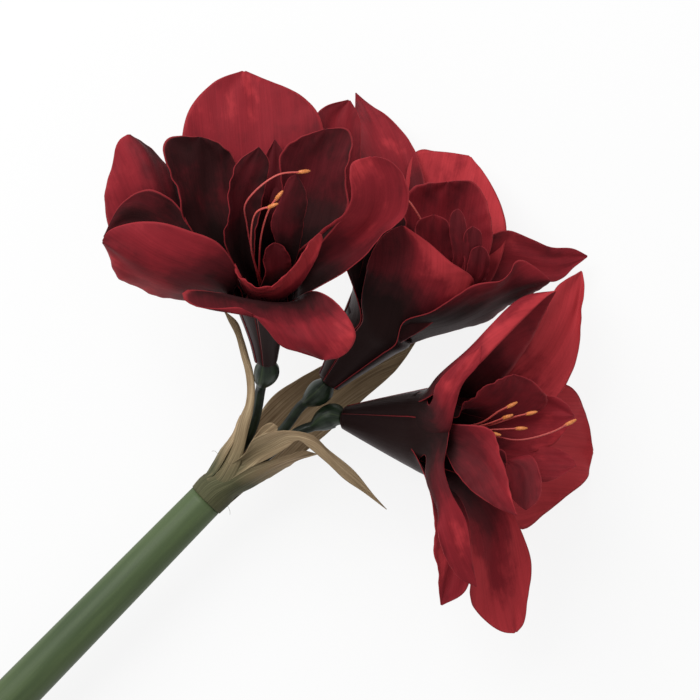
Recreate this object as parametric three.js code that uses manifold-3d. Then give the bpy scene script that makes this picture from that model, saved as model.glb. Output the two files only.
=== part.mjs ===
// A cut amaryllis stem that lies on a surface: one thick green stem, the papery bracts at its
// head, three flower stalks with their ovaries, and three deep red, semi-double blooms.
// Units are millimetres and +Z is up. The stem runs along +X, from its cut end to its head.
import * as THREE from 'three';
import Module from 'manifold-3d';

const wasm = await Module();
wasm.setup();

// Stem: lengths along X from the cut end to the collar, where the bracts begin.
const STEM_LENGTH = 450;
const STEM_CUT_RADIUS = 14;
const STEM_MIDDLE_AT = 146;
const STEM_MIDDLE_RADIUS = 11.6;
const STEM_MIDDLE_HEIGHT = 26;
const STEM_TOP_RADIUS = 9.8;
const STEM_TOP_HEIGHT = 32;
const STEM_NECK_RADIUS = 8.4;
const STEM_NECK_LENGTH = 9;
const STEM_HOLLOW_RADIUS = 8.5;
const STEM_HOLLOW_DEPTH = 30;

// Places on the head are written as they are seen from above, as (across, up, height), from the
// middle of the collar. The stem climbs to the right at this angle in that view.
const STEM_HEADING = 45.6;

// Petals, bracts and the gap between pieces that touch.
const PETAL_THICKNESS = 1.1;
const BRACT_THICKNESS = 0.9;
const GAP = 0.35;

// The throat of a bloom: a funnel of this length, from the ovary to where the petals part.
const THROAT_LENGTH = 45;
const THROAT_WALL = 1.2;
const THROAT_FLOOR = 8;
const SUNK = 0.6;

const PETAL_RED = 0x8a1420;
const STALK_GREEN = 0x24341f;
const STEM_GREEN = 0x4c6636;
const BRACT_TAN = 0x8f7a52;
const ANTHER_ORANGE = 0xd06a24;

const degrees = Math.PI / 180;

// Turns a place seen from above into the part's own axes.
function seen(across, up, height) {
  const c = Math.cos(STEM_HEADING * degrees);
  const s = Math.sin(STEM_HEADING * degrees);
  return new THREE.Vector3(across * c + up * s, up * c - across * s, height);
}

// Eases from 0 at a to 1 at b.
function ease(a, b, x) {
  const t = Math.min(1, Math.max(0, (x - a) / (b - a)));
  return t * t * (3 - 2 * t);
}

// Smooth curve through evenly spaced values, read at t from 0 to 1.
function through(values, t) {
  const last = values.length - 1;
  const x = Math.min(1, Math.max(0, t)) * last;
  const i = Math.min(Math.floor(x), last - 1);
  const f = x - i;
  const at = (k) => values[Math.min(last, Math.max(0, k))];
  const [a, b, c, d] = [at(i - 1), at(i), at(i + 1), at(i + 2)];
  return 0.5 * (2 * b + (c - a) * f + (2 * a - 5 * b + 4 * c - d) * f * f + (3 * b - a - 3 * c + d) * f ** 3);
}

// A root is where blades grow from: its axis points the way the flower opens. Angle 0 round the
// axis is the side nearest the sky, and 180 the side nearest the floor. The throat on a bloom's
// root widens from the radius at its foot to the radius at its mouth.
function root(origin, heading, rise, foot = 6, mouth = 10, flare = 1) {
  const az = (heading - STEM_HEADING) * degrees;
  const el = rise * degrees;
  const axis = new THREE.Vector3(Math.cos(az) * Math.cos(el), Math.sin(az) * Math.cos(el), Math.sin(el));
  const sky = new THREE.Vector3(0, 0, 1).addScaledVector(axis, -axis.z).normalize();
  const side = new THREE.Vector3().crossVectors(axis, sky);
  return { origin, axis, sky, side, foot, mouth, flare };
}

function outward(base, angle) {
  const a = angle * degrees;
  return base.sky.clone().multiplyScalar(Math.cos(a)).addScaledVector(base.side, Math.sin(a));
}

// Outer radius of a bloom's throat at a height above the ovary.
function throatRadius(base, h) {
  return base.foot + (base.mouth - base.foot) * (Math.max(h, 0) / THROAT_LENGTH) ** base.flare;
}

// A point beside a root's axis, at a height along it.
function beside(base, angle, radius, height) {
  return base.origin.clone().addScaledVector(outward(base, angle), radius).addScaledVector(base.axis, height);
}

// One margin of a blade, or its midrib: it starts at the stations, each a radius and a height beside
// the root, and goes on through places seen from above. Share 0 is the station it is held at, share
// 1 its end, and share -1 its start.
function rail(base, angle, stations, heldAt, places, shares) {
  const points = [...stations.map(([r, h]) => beside(base, angle, r, h)), ...places.map((p) => seen(...p))];
  const curve = new THREE.CatmullRomCurve3(points, false, 'centripetal');
  const held = heldAt / (points.length - 1);
  const fine = Array.from({ length: 201 }, (_, k) => curve.getPoint(held + (1 - held) * k / 200));
  const lengths = [0];
  for (let k = 1; k < fine.length; k += 1) lengths.push(lengths[k - 1] + fine[k].distanceTo(fine[k - 1]));
  return shares.map((u) => {
    if (u < 0) return curve.getPoint(held * (1 + u));
    const s = u * lengths.at(-1);
    const k = Math.max(1, lengths.findIndex((x) => x >= s));
    return fine[k - 1].clone().lerp(fine[k], (s - lengths[k - 1]) / (lengths[k] - lengths[k - 1]));
  });
}

// Rows of points over a blade, from its low margin to its high one. Its section hugs the root where
// it is held, and further out it folds along the midrib.
const BLADE = { hug: 36, fold: 2 };

function bladeRows(given, base, stations, heldAt, rowCount, halfColumns) {
  const shape = { ...BLADE, ...given };
  const shares = Array.from({ length: rowCount + 1 }, (_, r) => (1 - (1 - r / rowCount) ** 1.25) * 0.99);
  if (heldAt > 0) shares.unshift(-1);
  const [low, mid, high] = [[-shape.hug, shape.low], [0, shape.mid], [shape.hug, shape.high]]
    .map(([turn, places]) => rail(base, shape.angle + turn, stations, heldAt, [...places, shape.tip], shares));
  const bow = shape.hug * degrees;
  return shares.map((u, i) => {
    const loose = ease(0, 0.3, u);
    const half = high[i].clone().sub(low[i]).multiplyScalar(0.5);
    const sag = high[i].clone().add(low[i]).multiplyScalar(0.5).sub(mid[i]);
    return Array.from({ length: 2 * halfColumns + 1 }, (_, j) => {
      const v = j / halfColumns - 1;
      const across = (1 - loose) * Math.sin(v * bow) / Math.sin(bow) + loose * v;
      const round = (1 - Math.cos(v * bow)) / (1 - Math.cos(bow));
      const rise = (1 - loose) * round + loose * Math.abs(v) ** shape.fold;
      return mid[i].clone().addScaledVector(half, across).addScaledVector(sag, rise);
    });
  });
}

// A closed solid from its vertices and triangles.
function solid(vertices, triangles) {
  const mesh = new wasm.Mesh({
    numProp: 3,
    vertProperties: new Float32Array(vertices.flatMap((v) => [v.x, v.y, v.z])),
    triVerts: new Uint32Array(triangles.flat()),
  });
  return new wasm.Manifold(mesh);
}

// Gives a sheet of rows its thickness. Both faces are split into triangles alike, and what would
// reach below the surface lies flat on it.
function sheet(rows, thickness) {
  const [m, n] = [rows.length, rows[0].length];
  const up = [];
  const down = [];
  rows.forEach((row, i) => row.forEach((p, j) => {
    const along = rows[Math.min(i + 1, m - 1)][j].clone().sub(rows[Math.max(i - 1, 0)][j]);
    const over = row[Math.min(j + 1, n - 1)].clone().sub(row[Math.max(j - 1, 0)]);
    const normal = new THREE.Vector3().crossVectors(over, along).normalize();
    const [a, b] = [1, -1].map((s) => p.clone().addScaledVector(normal, s * thickness / 2));
    const [lower, upper] = a.z < b.z ? [a, b] : [b, a];
    lower.z = Math.max(lower.z, 0);
    upper.z = Math.max(upper.z, thickness);
    up.push(a);
    down.push(b);
  }));
  const at = (i, j) => i * n + j;
  const lower = m * n;
  const triangles = [];
  for (let i = 0; i < m - 1; i += 1) {
    for (let j = 0; j < n - 1; j += 1) {
      const [a, b, c, d] = [at(i, j), at(i, j + 1), at(i + 1, j + 1), at(i + 1, j)];
      triangles.push([a, b, c], [a, c, d], [lower + a, lower + c, lower + b], [lower + a, lower + d, lower + c]);
    }
  }
  const rim = [];
  for (let j = 0; j < n - 1; j += 1) rim.push(at(0, j));
  for (let i = 0; i < m - 1; i += 1) rim.push(at(i, n - 1));
  for (let j = n - 1; j > 0; j -= 1) rim.push(at(m - 1, j));
  for (let i = m - 1; i > 0; i -= 1) rim.push(at(i, 0));
  rim.forEach((a, k) => {
    const b = rim[(k + 1) % rim.length];
    triangles.push([a, lower + b, b], [a, lower + a, lower + b]);
  });
  return solid([...up, ...down], triangles);
}

// A closed solid from rings of points, each ring with as many points, with flat ends.
function rings(sections) {
  const n = sections[0].length;
  const vertices = sections.flat();
  const middle = (ring) => ring.reduce((a, p) => a.add(p), new THREE.Vector3()).divideScalar(n);
  vertices.push(middle(sections[0]), middle(sections.at(-1)));
  const [first, last] = [vertices.length - 2, vertices.length - 1];
  const triangles = [];
  for (let i = 0; i < sections.length - 1; i += 1) {
    for (let j = 0; j < n; j += 1) {
      const [a, b] = [i * n + j, i * n + (j + 1) % n];
      triangles.push([a, b, b + n], [a, b + n, a + n]);
    }
  }
  const top = (sections.length - 1) * n;
  for (let j = 0; j < n; j += 1) {
    triangles.push([first, (j + 1) % n, j], [last, top + j, top + (j + 1) % n]);
  }
  return solid(vertices, triangles);
}

function ring(centre, x, y, radiusAt, sides) {
  return Array.from({ length: sides }, (_, k) => {
    const a = 2 * Math.PI * k / sides;
    const r = radiusAt(a);
    return centre.clone().addScaledVector(x, r * Math.cos(a)).addScaledVector(y, r * Math.sin(a));
  });
}

// A rod along a smooth path through the given places. radiusAt gives its radius at u from 0 to 1
// and at an angle round it.
function rod(places, radiusAt, steps, sides) {
  const path = new THREE.CatmullRomCurve3(places, false, 'centripetal').getSpacedPoints(steps);
  let x = new THREE.Vector3(0.3, 0.2, 1);
  const sections = path.map((p, i) => {
    const t = path[Math.min(i + 1, steps)].clone().sub(path[Math.max(i - 1, 0)]).normalize();
    x = x.clone().addScaledVector(t, -x.dot(t)).normalize();
    const y = new THREE.Vector3().crossVectors(t, x);
    return ring(p, x, y, (a) => radiusAt(i / steps, a), sides);
  });
  return rings(sections);
}

// Joins solids into one body. A hollow that joining seals is filled, and loose scraps drop out.
function joined(solids) {
  const pieces = wasm.Manifold.union(solids).decompose();
  return pieces.reduce((a, b) => (b.volume() > a.volume() ? b : a));
}

function node(name, body, colour, roughness) {
  const mesh = body.getMesh();
  const geometry = new THREE.BufferGeometry();
  geometry.setAttribute('position', new THREE.BufferAttribute(mesh.vertProperties, 3));
  geometry.setIndex(new THREE.BufferAttribute(mesh.triVerts, 1));
  geometry.computeVertexNormals();
  const material = new THREE.MeshStandardMaterial({ color: colour, roughness, metalness: 0 });
  const piece = new THREE.Mesh(geometry, material);
  piece.name = name;
  return piece;
}

// The throat's funnel, closed below by the receptacle. The petals' bases are sunk in its wall.
function throat(base) {
  const section = (r, h) => {
    const centre = base.origin.clone().addScaledVector(base.axis, h);
    return ring(centre, base.sky, base.side, () => r, 14);
  };
  const heights = [0, 0.5, 0.95].map((t) => t * THROAT_LENGTH);
  const outer = heights.map((h) => section(throatRadius(base, h), h));
  const inner = heights.slice(1).reverse().map((h) => section(throatRadius(base, h) - THROAT_WALL, h));
  const floor = section(throatRadius(base, THROAT_FLOOR) - THROAT_WALL, THROAT_FLOOR);
  return rings([section(4, -1.5), ...outer, ...inner, floor]);
}

// A bloom: large outer petals that leave the throat's rim, and smaller ones inside them.
function bloom(name, base, outerPetals, innerPetals) {
  const outer = outerPetals.map((given) => {
    const stations = [[throatRadius(base, 37) - SUNK, 37], [base.mouth - SUNK, THROAT_LENGTH]];
    return sheet(bladeRows(given, base, stations, 1, 7, 2), PETAL_THICKNESS);
  });
  const inner = innerPetals.map((given) => {
    const stations = [[throatRadius(base, 33) - THROAT_WALL, 33], [given.mouth ?? base.mouth - 5, THROAT_LENGTH]];
    return sheet(bladeRows(given, base, stations, 1, 5, 2), PETAL_THICKNESS);
  });
  return node(name, joined([throat(base), ...outer, ...inner]), PETAL_RED, 0.75);
}

// Left bloom, which opens towards the sky and away from the stem.
const leftRoot = root(seen(33.5, 76, 66.5), 90, 40, 6, 17, 1.25);
const leftOuter = [
  { angle: 186, tip: [23, 223, 98], low: [[52, 149, 110], [64, 176, 110], [62, 198, 107], [53, 209, 103],
    [37, 217, 100]], mid: [[28, 146, 104], [26, 182, 106]], high: [[0, 146, 110], [-8, 176, 110],
    [-5, 201, 106], [7, 216, 101]] },
  { angle: 240, fold: 1.3, tip: [-35, 190, 106], low: [[4, 141, 104], [-9, 158, 105], [-16, 174, 105],
    [-25, 184, 105]], mid: [[-12, 139, 101], [-21, 160, 113], [-29, 179, 112]], high: [[-25, 125, 96],
    [-45, 141, 96], [-48, 157, 101], [-43, 177, 105], [-40, 186, 106]] },
  { angle: 268, tip: [-48, 137, 110], low: [[-2, 140, 118], [-12, 156, 120], [-23, 161, 120],
    [-38, 154, 115]], mid: [[-13, 133, 108], [-31, 143, 111]], high: [[-14, 121, 104], [-34, 127, 106]] },
  { angle: 305, fold: 1.6, tip: [-46, 134, 138], low: [[21, 114, 120], [19, 124, 134], [11, 134, 142],
    [-2, 139, 146], [-16, 143, 147], [-31, 143, 144], [-42, 139, 140]], mid: [[13, 110, 122],
    [-3, 115, 134], [-22, 121, 139], [-38, 130, 140]], high: [[16, 103, 106], [-1, 105, 108],
    [-19, 107, 112], [-30, 111, 116], [-38, 117, 122], [-43, 127, 130]] },
  { angle: 22, tip: [64, 75, 132], low: [[21, 106, 106], [9, 109, 136], [-5, 109, 148], [-4, 105, 149],
    [11, 101, 146], [24, 101, 143], [34, 93, 140], [44, 82, 136]], mid: [[43, 104, 116], [48, 95, 134],
    [54, 86, 138]], high: [[58, 110, 114], [68, 106, 126], [76, 97, 133], [80, 87, 136], [76, 79, 134]] },
  { angle: 85, tip: [88, 177, 131], low: [[61, 112, 108], [75, 120, 112], [86, 129, 117], [96, 141, 121],
    [105, 150, 124], [107, 158, 126], [103, 169, 128], [96, 175, 130]], mid: [[59, 121, 104],
    [78, 133, 108], [92, 148, 118], [94, 163, 126]], high: [[50, 129, 112], [62, 139, 118], [75, 151, 125],
    [78, 158, 130], [77, 166, 132], [78, 173, 132]] },
];
const leftInner = [
  { angle: 134, tip: [65, 191, 127], low: [[54, 124, 112], [68, 140, 119], [76, 151, 124], [75, 164, 126],
    [78, 178, 128], [76, 190, 128]], mid: [[47, 136, 108], [56, 159, 112], [61, 178, 120]],
    high: [[41, 140, 114], [42, 161, 120], [43, 178, 124], [49, 185, 126]] },
  { angle: 236, tip: [2, 187, 126], low: [[23, 141, 116], [22, 163, 120], [19, 177, 123], [12, 184, 125]],
    mid: [[14, 134, 106], [6, 156, 112], [4, 176, 120]], high: [[7, 125, 112], [-3, 141, 118],
    [-8, 150, 122], [-9, 160, 124], [-14, 170, 126], [-16, 181, 128], [-13, 186, 127]] },
  { angle: 180, tip: [39, 187, 112], low: [[47, 156, 112], [46, 176, 112]], mid: [[39, 156, 106],
    [39, 176, 110]], high: [[31, 156, 112], [34, 177, 112]] },
  { angle: 236, mouth: 8, tip: [32, 181, 141], low: [[29, 125, 114], [31, 146, 126], [36, 164, 133],
    [37, 174, 138]], mid: [[23, 125, 108], [22, 148, 122], [26, 167, 134]], high: [[20, 121, 114],
    [15, 133, 126], [16, 149, 134], [18, 164, 138], [22, 173, 140]] },
  { angle: 95, mouth: 8, tip: [51, 167, 146], low: [[50, 126, 114], [54, 143, 126], [55, 159, 138]],
    mid: [[45, 128, 116], [46, 144, 134], [48, 157, 142]], high: [[40, 133, 124], [38, 144, 134],
    [43, 156, 142], [47, 165, 145]] },
  { angle: 0, mouth: 8, tip: [39, 134, 126], low: [[34, 118, 114], [34, 127, 122], [36, 132, 126]],
    mid: [[39, 118, 112], [39, 128, 121]], high: [[47, 120, 114], [47, 127, 121], [44, 132, 125]] },
  { angle: 20, hug: 55, tip: [38, 112, 128], low: [[23, 111, 114], [19, 123, 130], [21, 117, 131],
    [29, 113, 130]], mid: [[37, 107, 112], [38, 110, 121]], high: [[52, 113, 114], [62, 130, 126],
    [63, 138, 130], [56, 134, 132], [49, 121, 131]] },
];

// Middle bloom, which lies lower and leans on the far side. One petal lies on the surface.
const middleRoot = root(seen(66.5, 64.5, 42), 50, 22, 6.5, 20);
const middleOuter = [
  { angle: 250, tip: [80, 221, -4], low: [[119, 138, 50], [117, 165, 42], [112, 186, 32], [100, 204, 18],
    [89, 213, 6]], mid: [[105, 141, 50], [101, 174, 36], [90, 202, 16]], high: [[86, 141, 60],
    [81, 172, 54], [80, 190, 38], [80, 208, 16]] },
  { angle: 300, tip: [77, 210, 78], low: [[87, 145, 76], [83, 178, 80], [82, 200, 80]],
    mid: [[78, 142, 76], [73, 178, 80], [72, 200, 79]], high: [[69, 140, 82], [61, 178, 84], [59, 200, 82],
    [64, 206, 80]] },
  { angle: 200, tip: [142, 185, 18], low: [[145, 109, 50], [160, 139, 38], [158, 158, 30], [151, 172, 24]],
    mid: [[129, 127, 44], [135, 158, 32]], high: [[108, 136, 50], [107, 168, 40], [112, 186, 28],
    [126, 187, 22]] },
  { angle: 140, tip: [206, 131, 14], low: [[127, 104, 50], [151, 112, 44], [173, 115, 34], [190, 118, 25],
    [198, 125, 19]], mid: [[131, 115, 44], [157, 128, 38], [184, 126, 24]], high: [[130, 123, 50],
    [149, 140, 46], [160, 144, 40], [173, 140, 32], [186, 135, 25], [197, 135, 19]] },
  { angle: 80, tip: [181, 116, 80], low: [[105, 95, 82], [119, 100, 86], [140, 113, 90], [156, 118, 91],
    [164, 126, 90], [172, 123, 86]], mid: [[104, 88, 64], [128, 95, 70], [151, 106, 76], [168, 113, 79]],
    high: [[106, 83, 52], [119, 87, 46], [134, 91, 44], [151, 97, 50], [168, 107, 64]] },
  { angle: 15, tip: [104, 144, 99], low: [[83, 106, 80], [86, 122, 88], [90, 134, 94], [97, 141, 97]],
    mid: [[97, 104, 82], [104, 120, 92], [106, 133, 97]], high: [[118, 93, 74], [133, 106, 81],
    [141, 114, 86], [138, 119, 91], [128, 126, 95], [116, 136, 98]] },
];
const middleInner = [
  { angle: 195, tip: [128, 168, 70], low: [[141, 116, 62], [150, 132, 66], [151, 149, 68], [147, 160, 69],
    [140, 168, 70]], mid: [[122, 126, 58], [127, 151, 61]], high: [[106, 130, 66], [105, 151, 70],
    [109, 164, 71], [118, 167, 71]] },
  { angle: 215, mouth: 9, tip: [120, 150, 88], low: [[130, 121, 78], [130, 137, 85], [127, 147, 88]],
    mid: [[120, 123, 76], [120, 138, 83]], high: [[110, 126, 80], [110, 138, 85], [112, 146, 88]] },
  { angle: 190, mouth: 7, tip: [132, 153, 92], low: [[137, 123, 82], [137, 142, 90], [135, 150, 92]],
    mid: [[133, 122, 80], [133, 139, 89]], high: [[129, 123, 82], [128, 142, 90], [129, 150, 92]] },
  { angle: 165, mouth: 8, tip: [140, 144, 90], low: [[145, 119, 80], [145, 134, 87], [144, 141, 90]],
    mid: [[140, 118, 78], [141, 133, 86]], high: [[135, 119, 80], [135, 134, 87], [136, 141, 90]] },
  { angle: 130, mouth: 9, tip: [144, 134, 88], low: [[147, 117, 78], [149, 126, 84], [147, 132, 88]],
    mid: [[141, 114, 76], [144, 125, 84]], high: [[135, 117, 78], [138, 126, 85], [140, 132, 88]] },
];

// Right bloom, seen from its side, with its lowest petal on the surface.
const rightRoot = root(seen(75, 44.5, 40), -8, 22, 6, 22, 0.95);
const rightOuter = [
  { angle: 232, tip: [201, 123, 32], low: [[156, 41, 50], [182, 51, 46], [196, 72, 42], [200, 94, 40],
    [202, 111, 36]], mid: [[150, 53, 46], [176, 69, 42], [193, 96, 38]], high: [[139, 62, 60],
    [165, 78, 54], [181, 104, 48], [190, 116, 41]] },
  { angle: 285, tip: [184, 111, 78], low: [[144, 55, 62], [160, 69, 66], [172, 86, 71], [180, 104, 76]],
    mid: [[124, 67, 80], [137, 79, 84], [151, 93, 86], [167, 107, 83]], high: [[126, 61, 86],
    [140, 70, 92], [154, 84, 93], [168, 98, 89], [179, 108, 82]] },
  { angle: 180, tip: [210, 25, -4], low: [[151, 6, 46], [168, -15, 38], [182, -7, 28], [193, 1, 20],
    [206, 11, 6]], mid: [[160, 32, 38], [185, 28, 20]], high: [[157, 51, 44], [181, 62, 34], [195, 61, 24],
    [205, 46, 12]] },
  { angle: 110, tip: [165, -70, 42], low: [[124, 13, 66], [136, -8, 68], [139, -29, 62], [141, -52, 54],
    [150, -64, 47], [158, -69, 44]], mid: [[134, 12, 52], [152, -12, 54], [157, -38, 49]],
    high: [[142, 20, 46], [158, 1, 48], [168, -16, 48], [173, -32, 46], [171, -52, 43], [169, -65, 42]] },
  { angle: 60, tip: [124, -52, 80], low: [[118, 8, 78], [121, -17, 84], [122, -36, 84]],
    mid: [[127, 8, 70], [130, -23, 76]], high: [[135, 2, 70], [140, -23, 74], [137, -44, 78]] },
  { angle: 335, tip: [144, 83, 104], low: [[118, 52, 84], [123, 65, 98], [133, 75, 104]],
    mid: [[121, 45, 90], [127, 59, 101], [135, 71, 104]], high: [[126, 36, 88], [131, 52, 99],
    [135, 64, 103], [143, 74, 104]] },
  { angle: 20, tip: [142, -41, 96], low: [[127, 42, 86], [127, 33, 95], [125, 21, 99], [128, 9, 102],
    [136, -7, 104], [139, -25, 101]], mid: [[121, 34, 88], [120, 19, 97], [125, 2, 102], [131, -19, 103]],
    high: [[116, 26, 82], [116, 14, 90], [121, -1, 99], [123, -19, 104], [132, -35, 101]] },
];
const rightInner = [
  { angle: 22, tip: [162, -4, 103], low: [[134, 42, 92], [149, 40, 98], [154, 25, 101], [158, 10, 103]],
    mid: [[133, 32, 88], [146, 22, 96], [154, 8, 101]], high: [[124, 30, 86], [131, 18, 94], [141, 7, 99],
    [152, 0, 102]] },
  { angle: 265, tip: [161, 68, 92], low: [[155, 44, 66], [178, 50, 74], [178, 58, 82], [171, 64, 88]],
    mid: [[140, 50, 70], [157, 57, 80]], high: [[132, 45, 76], [137, 54, 84], [146, 61, 90]] },
  { angle: 200, tip: [194, 46, 70], low: [[156, 25, 58], [181, 30, 64], [191, 40, 69]],
    mid: [[151, 41, 56], [176, 46, 62]], high: [[150, 52, 62], [176, 58, 66], [189, 53, 70]] },
  { angle: 130, tip: [195, 20, 70], low: [[150, 11, 64], [173, 11, 70], [185, 14, 72]],
    mid: [[145, 23, 58], [171, 21, 64]], high: [[161, 31, 58], [184, 29, 64], [192, 25, 68]] },
  { angle: 90, mouth: 9, tip: [167, -2, 92], low: [[144, 29, 84], [156, 28, 88], [158, 14, 91],
    [161, 3, 92]], mid: [[147, 24, 80], [164, 20, 86]], high: [[152, 23, 78], [170, 26, 84], [175, 15, 90],
    [174, 4, 92]] },
];

// Stem: a smooth, slightly tapered scape, hollow at its cut end. Its neck goes up inside the
// bracts, and carries the flower stalks.
function stem() {
  const y = new THREE.Vector3(0, 1, 0);
  const z = new THREE.Vector3(0, 0, 1);
  const section = (x, height, radius) => ring(new THREE.Vector3(x, 0, height), y, z, () => radius, 20);
  const hollow = (x, height, radius) => ring(new THREE.Vector3(x, 0, height), y, z, () => radius, 20);
  return rings([
    hollow(STEM_HOLLOW_DEPTH - STEM_LENGTH, STEM_CUT_RADIUS + 1, STEM_HOLLOW_RADIUS - 1.5),
    hollow(-STEM_LENGTH, STEM_CUT_RADIUS, STEM_HOLLOW_RADIUS),
    section(-STEM_LENGTH, STEM_CUT_RADIUS, STEM_CUT_RADIUS),
    section(-STEM_MIDDLE_AT, STEM_MIDDLE_HEIGHT, STEM_MIDDLE_RADIUS),
    section(0, STEM_TOP_HEIGHT, STEM_TOP_RADIUS),
    section(0, STEM_TOP_HEIGHT, STEM_NECK_RADIUS),
    section(STEM_NECK_LENGTH, STEM_TOP_HEIGHT, STEM_NECK_RADIUS),
  ]);
}

// Bracts: the two valves of the papery sheath wrap the stem's neck, one on each side. The front
// one is split into flaps and curling strips.
const VALVE_RADIUS = 9.6;
const collar = root(new THREE.Vector3(0, 0, STEM_TOP_HEIGHT), STEM_HEADING, 0);

function bract(given) {
  const radius = VALVE_RADIUS + (given.layer ?? 0);
  const stations = [[radius, GAP], [radius + 0.3, 8]];
  const halfColumns = Math.max(2, Math.round(given.hug / 21));
  return sheet(bladeRows(given, collar, stations, 0, 8, halfColumns), BRACT_THICKNESS);
}

const backBract = [
  { angle: 180, hug: 84, layer: 0.6, tip: [114, 87, 30], low: [[30, 12, 24], [45, 20, 20], [62, 33, 17],
    [88, 57, 20], [103, 71, 25]], mid: [[30, 25, 13], [53, 47, 9], [83, 71, 15]], high: [[20, 26, 24],
    [27, 43, 20], [36, 56, 18], [52, 66, 18], [74, 77, 22], [96, 83, 28]] },
].map(bract);
const frontBract = [
  { angle: 25, hug: 60, layer: 0.6, tip: [60, 25, 38], low: [[11, 13, 43], [19, 19, 45], [31, 21, 46],
    [45, 25, 45], [52, 27, 43]], mid: [[17, 8, 42], [28, 14, 43], [43, 21, 42]], high: [[16, 2, 32],
    [25, 7, 32], [34, 12, 33], [44, 18, 34], [51, 23, 36]] },
  { angle: 310, hug: 34, layer: 0.3, tip: [11, 101, 58], low: [[1, 13, 38], [9, 21, 39], [15, 32, 42],
    [19, 45, 46], [22, 52, 50], [23, 60, 53], [22, 69, 54], [20, 77, 55], [17, 88, 56], [13, 96, 57]],
    mid: [[7, 10, 42], [14, 20, 45], [19, 31, 46], [22, 43, 50], [25, 52, 53], [26, 60, 56], [25, 69, 57],
    [22, 77, 57], [19, 88, 57], [15, 96, 58]], high: [[15, 10, 43], [19, 19, 45], [21, 27, 46],
    [23, 36, 48], [26, 48, 52], [27, 59, 56], [26, 69, 56], [24, 77, 56], [21, 87, 56], [18, 95, 57]] },
  { angle: 292, hug: 17, tip: [19, 46, 40], low: [[0, 14, 32], [8, 27, 34], [14, 35, 36], [17, 42, 38]],
    mid: [[3, 14, 38], [11, 27, 40], [16, 35, 41], [18, 42, 41]], high: [[5, 14, 41], [13, 27, 43],
    [17, 35, 43], [19, 42, 42]] },
  { angle: 335, hug: 26, layer: 0, tip: [97, -5, 34], low: [[21, 25, 50], [27, 34, 56], [41, 38, 62],
    [57, 36, 62], [66, 28, 58], [79, 17, 50], [90, 3, 40]], mid: [[24, 24, 46], [35, 30, 53], [46, 35, 60],
    [58, 32, 61], [70, 20, 54], [82, 9, 45]], high: [[24, 18, 47], [34, 23, 50], [44, 29, 56],
    [50, 33, 59], [57, 28, 58], [66, 20, 55], [74, 12, 48], [84, 5, 42]] },
  { angle: 335, hug: 15, layer: 0, tip: [39, 40, 46], low: [[18, 20, 44], [25, 32, 46], [31, 40, 47],
    [35, 42, 47]], mid: [[20, 19, 44], [27, 30, 45], [34, 36, 45]], high: [[22, 18, 44], [31, 27, 44],
    [38, 35, 45]] },
].map(bract);

// Stalks: each flower stalk ends in a three-lobed ovary just below its bloom.
const STALK_RADIUS = 2.7;
const OVARY_RADIUS = 6.5;

function stalk(base, start, bend, foot) {
  const top = base.origin.clone().addScaledVector(base.axis, -1.5 - GAP);
  const heading = top.clone().sub(foot).normalize();
  const places = [start, bend, foot.clone().addScaledVector(heading, -4), foot,
    top.clone().addScaledVector(base.axis, -6), top];
  const curve = new THREE.CatmullRomCurve3(places, false, 'centripetal');
  curve.arcLengthDivisions = 200;
  const lengths = curve.getLengths();
  const length = lengths.at(-1);
  const ovary = (length - lengths[120]) / length;
  return rod(places, (u, a) => {
    const v = (u - 1 + ovary) / ovary;
    if (v <= 0) return STALK_RADIUS;
    const swell = through([STALK_RADIUS / OVARY_RADIUS, 0.8, 1, 0.96, 0.62], v);
    return OVARY_RADIUS * swell * (1 + 0.05 * ease(0, 0.3, v) * Math.cos(3 * a));
  }, Math.round(length / 5.5), 9);
}

const neckEnd = STEM_NECK_LENGTH + GAP * 2;
const stalks = [
  ['stalk_left', leftRoot, new THREE.Vector3(neckEnd, 4.2, 33), seen(24, 36, 37), seen(30.5, 62, 50)],
  ['stalk_middle', middleRoot, new THREE.Vector3(neckEnd, 0.5, 27.5), seen(40, 36, 29), seen(53, 52, 34)],
  ['stalk_right', rightRoot, new THREE.Vector3(neckEnd, -4.2, 33), seen(47, 35, 33.5), seen(57, 39.5, 34.5)],
];

// Stamens and style: they stand together on a small disc on the receptacle, inside the throat.
const FILAMENT_RADIUS = 0.8;
const ANTHER_LENGTH = 7;
const ANTHER_RADIUS = 1;
const DISC_RADIUS = 3.4;
const DISC_THICKNESS = 1.6;

function stamens(base, tips) {
  const along = (h) => base.origin.clone().addScaledVector(base.axis, h);
  const low = THROAT_FLOOR + GAP;
  const disc = rings([low, low + DISC_THICKNESS].map((h) => ring(along(h), base.sky, base.side, () => DISC_RADIUS, 8)));
  const solids = tips.flatMap((places, k) => {
    const away = outward(base, 360 * k / tips.length);
    const foot = along(low + 0.5).addScaledVector(away, DISC_RADIUS * 0.6);
    const bend = along(THROAT_LENGTH * 0.7).addScaledVector(away, DISC_RADIUS * 0.8);
    const points = [foot, bend, ...places.map((p) => seen(...p))];
    const end = points.at(-1);
    const heading = end.clone().sub(points.at(-2)).normalize().multiplyScalar(ANTHER_LENGTH / 2);
    const anther = [end.clone().sub(heading), end.clone().add(heading)];
    return [
      rod(points, () => FILAMENT_RADIUS, 6, 3),
      rod(anther, (u) => ANTHER_RADIUS * (0.4 + 0.6 * Math.sin(Math.PI * u)), 3, 4),
    ];
  });
  return joined([disc, ...solids]);
}

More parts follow.
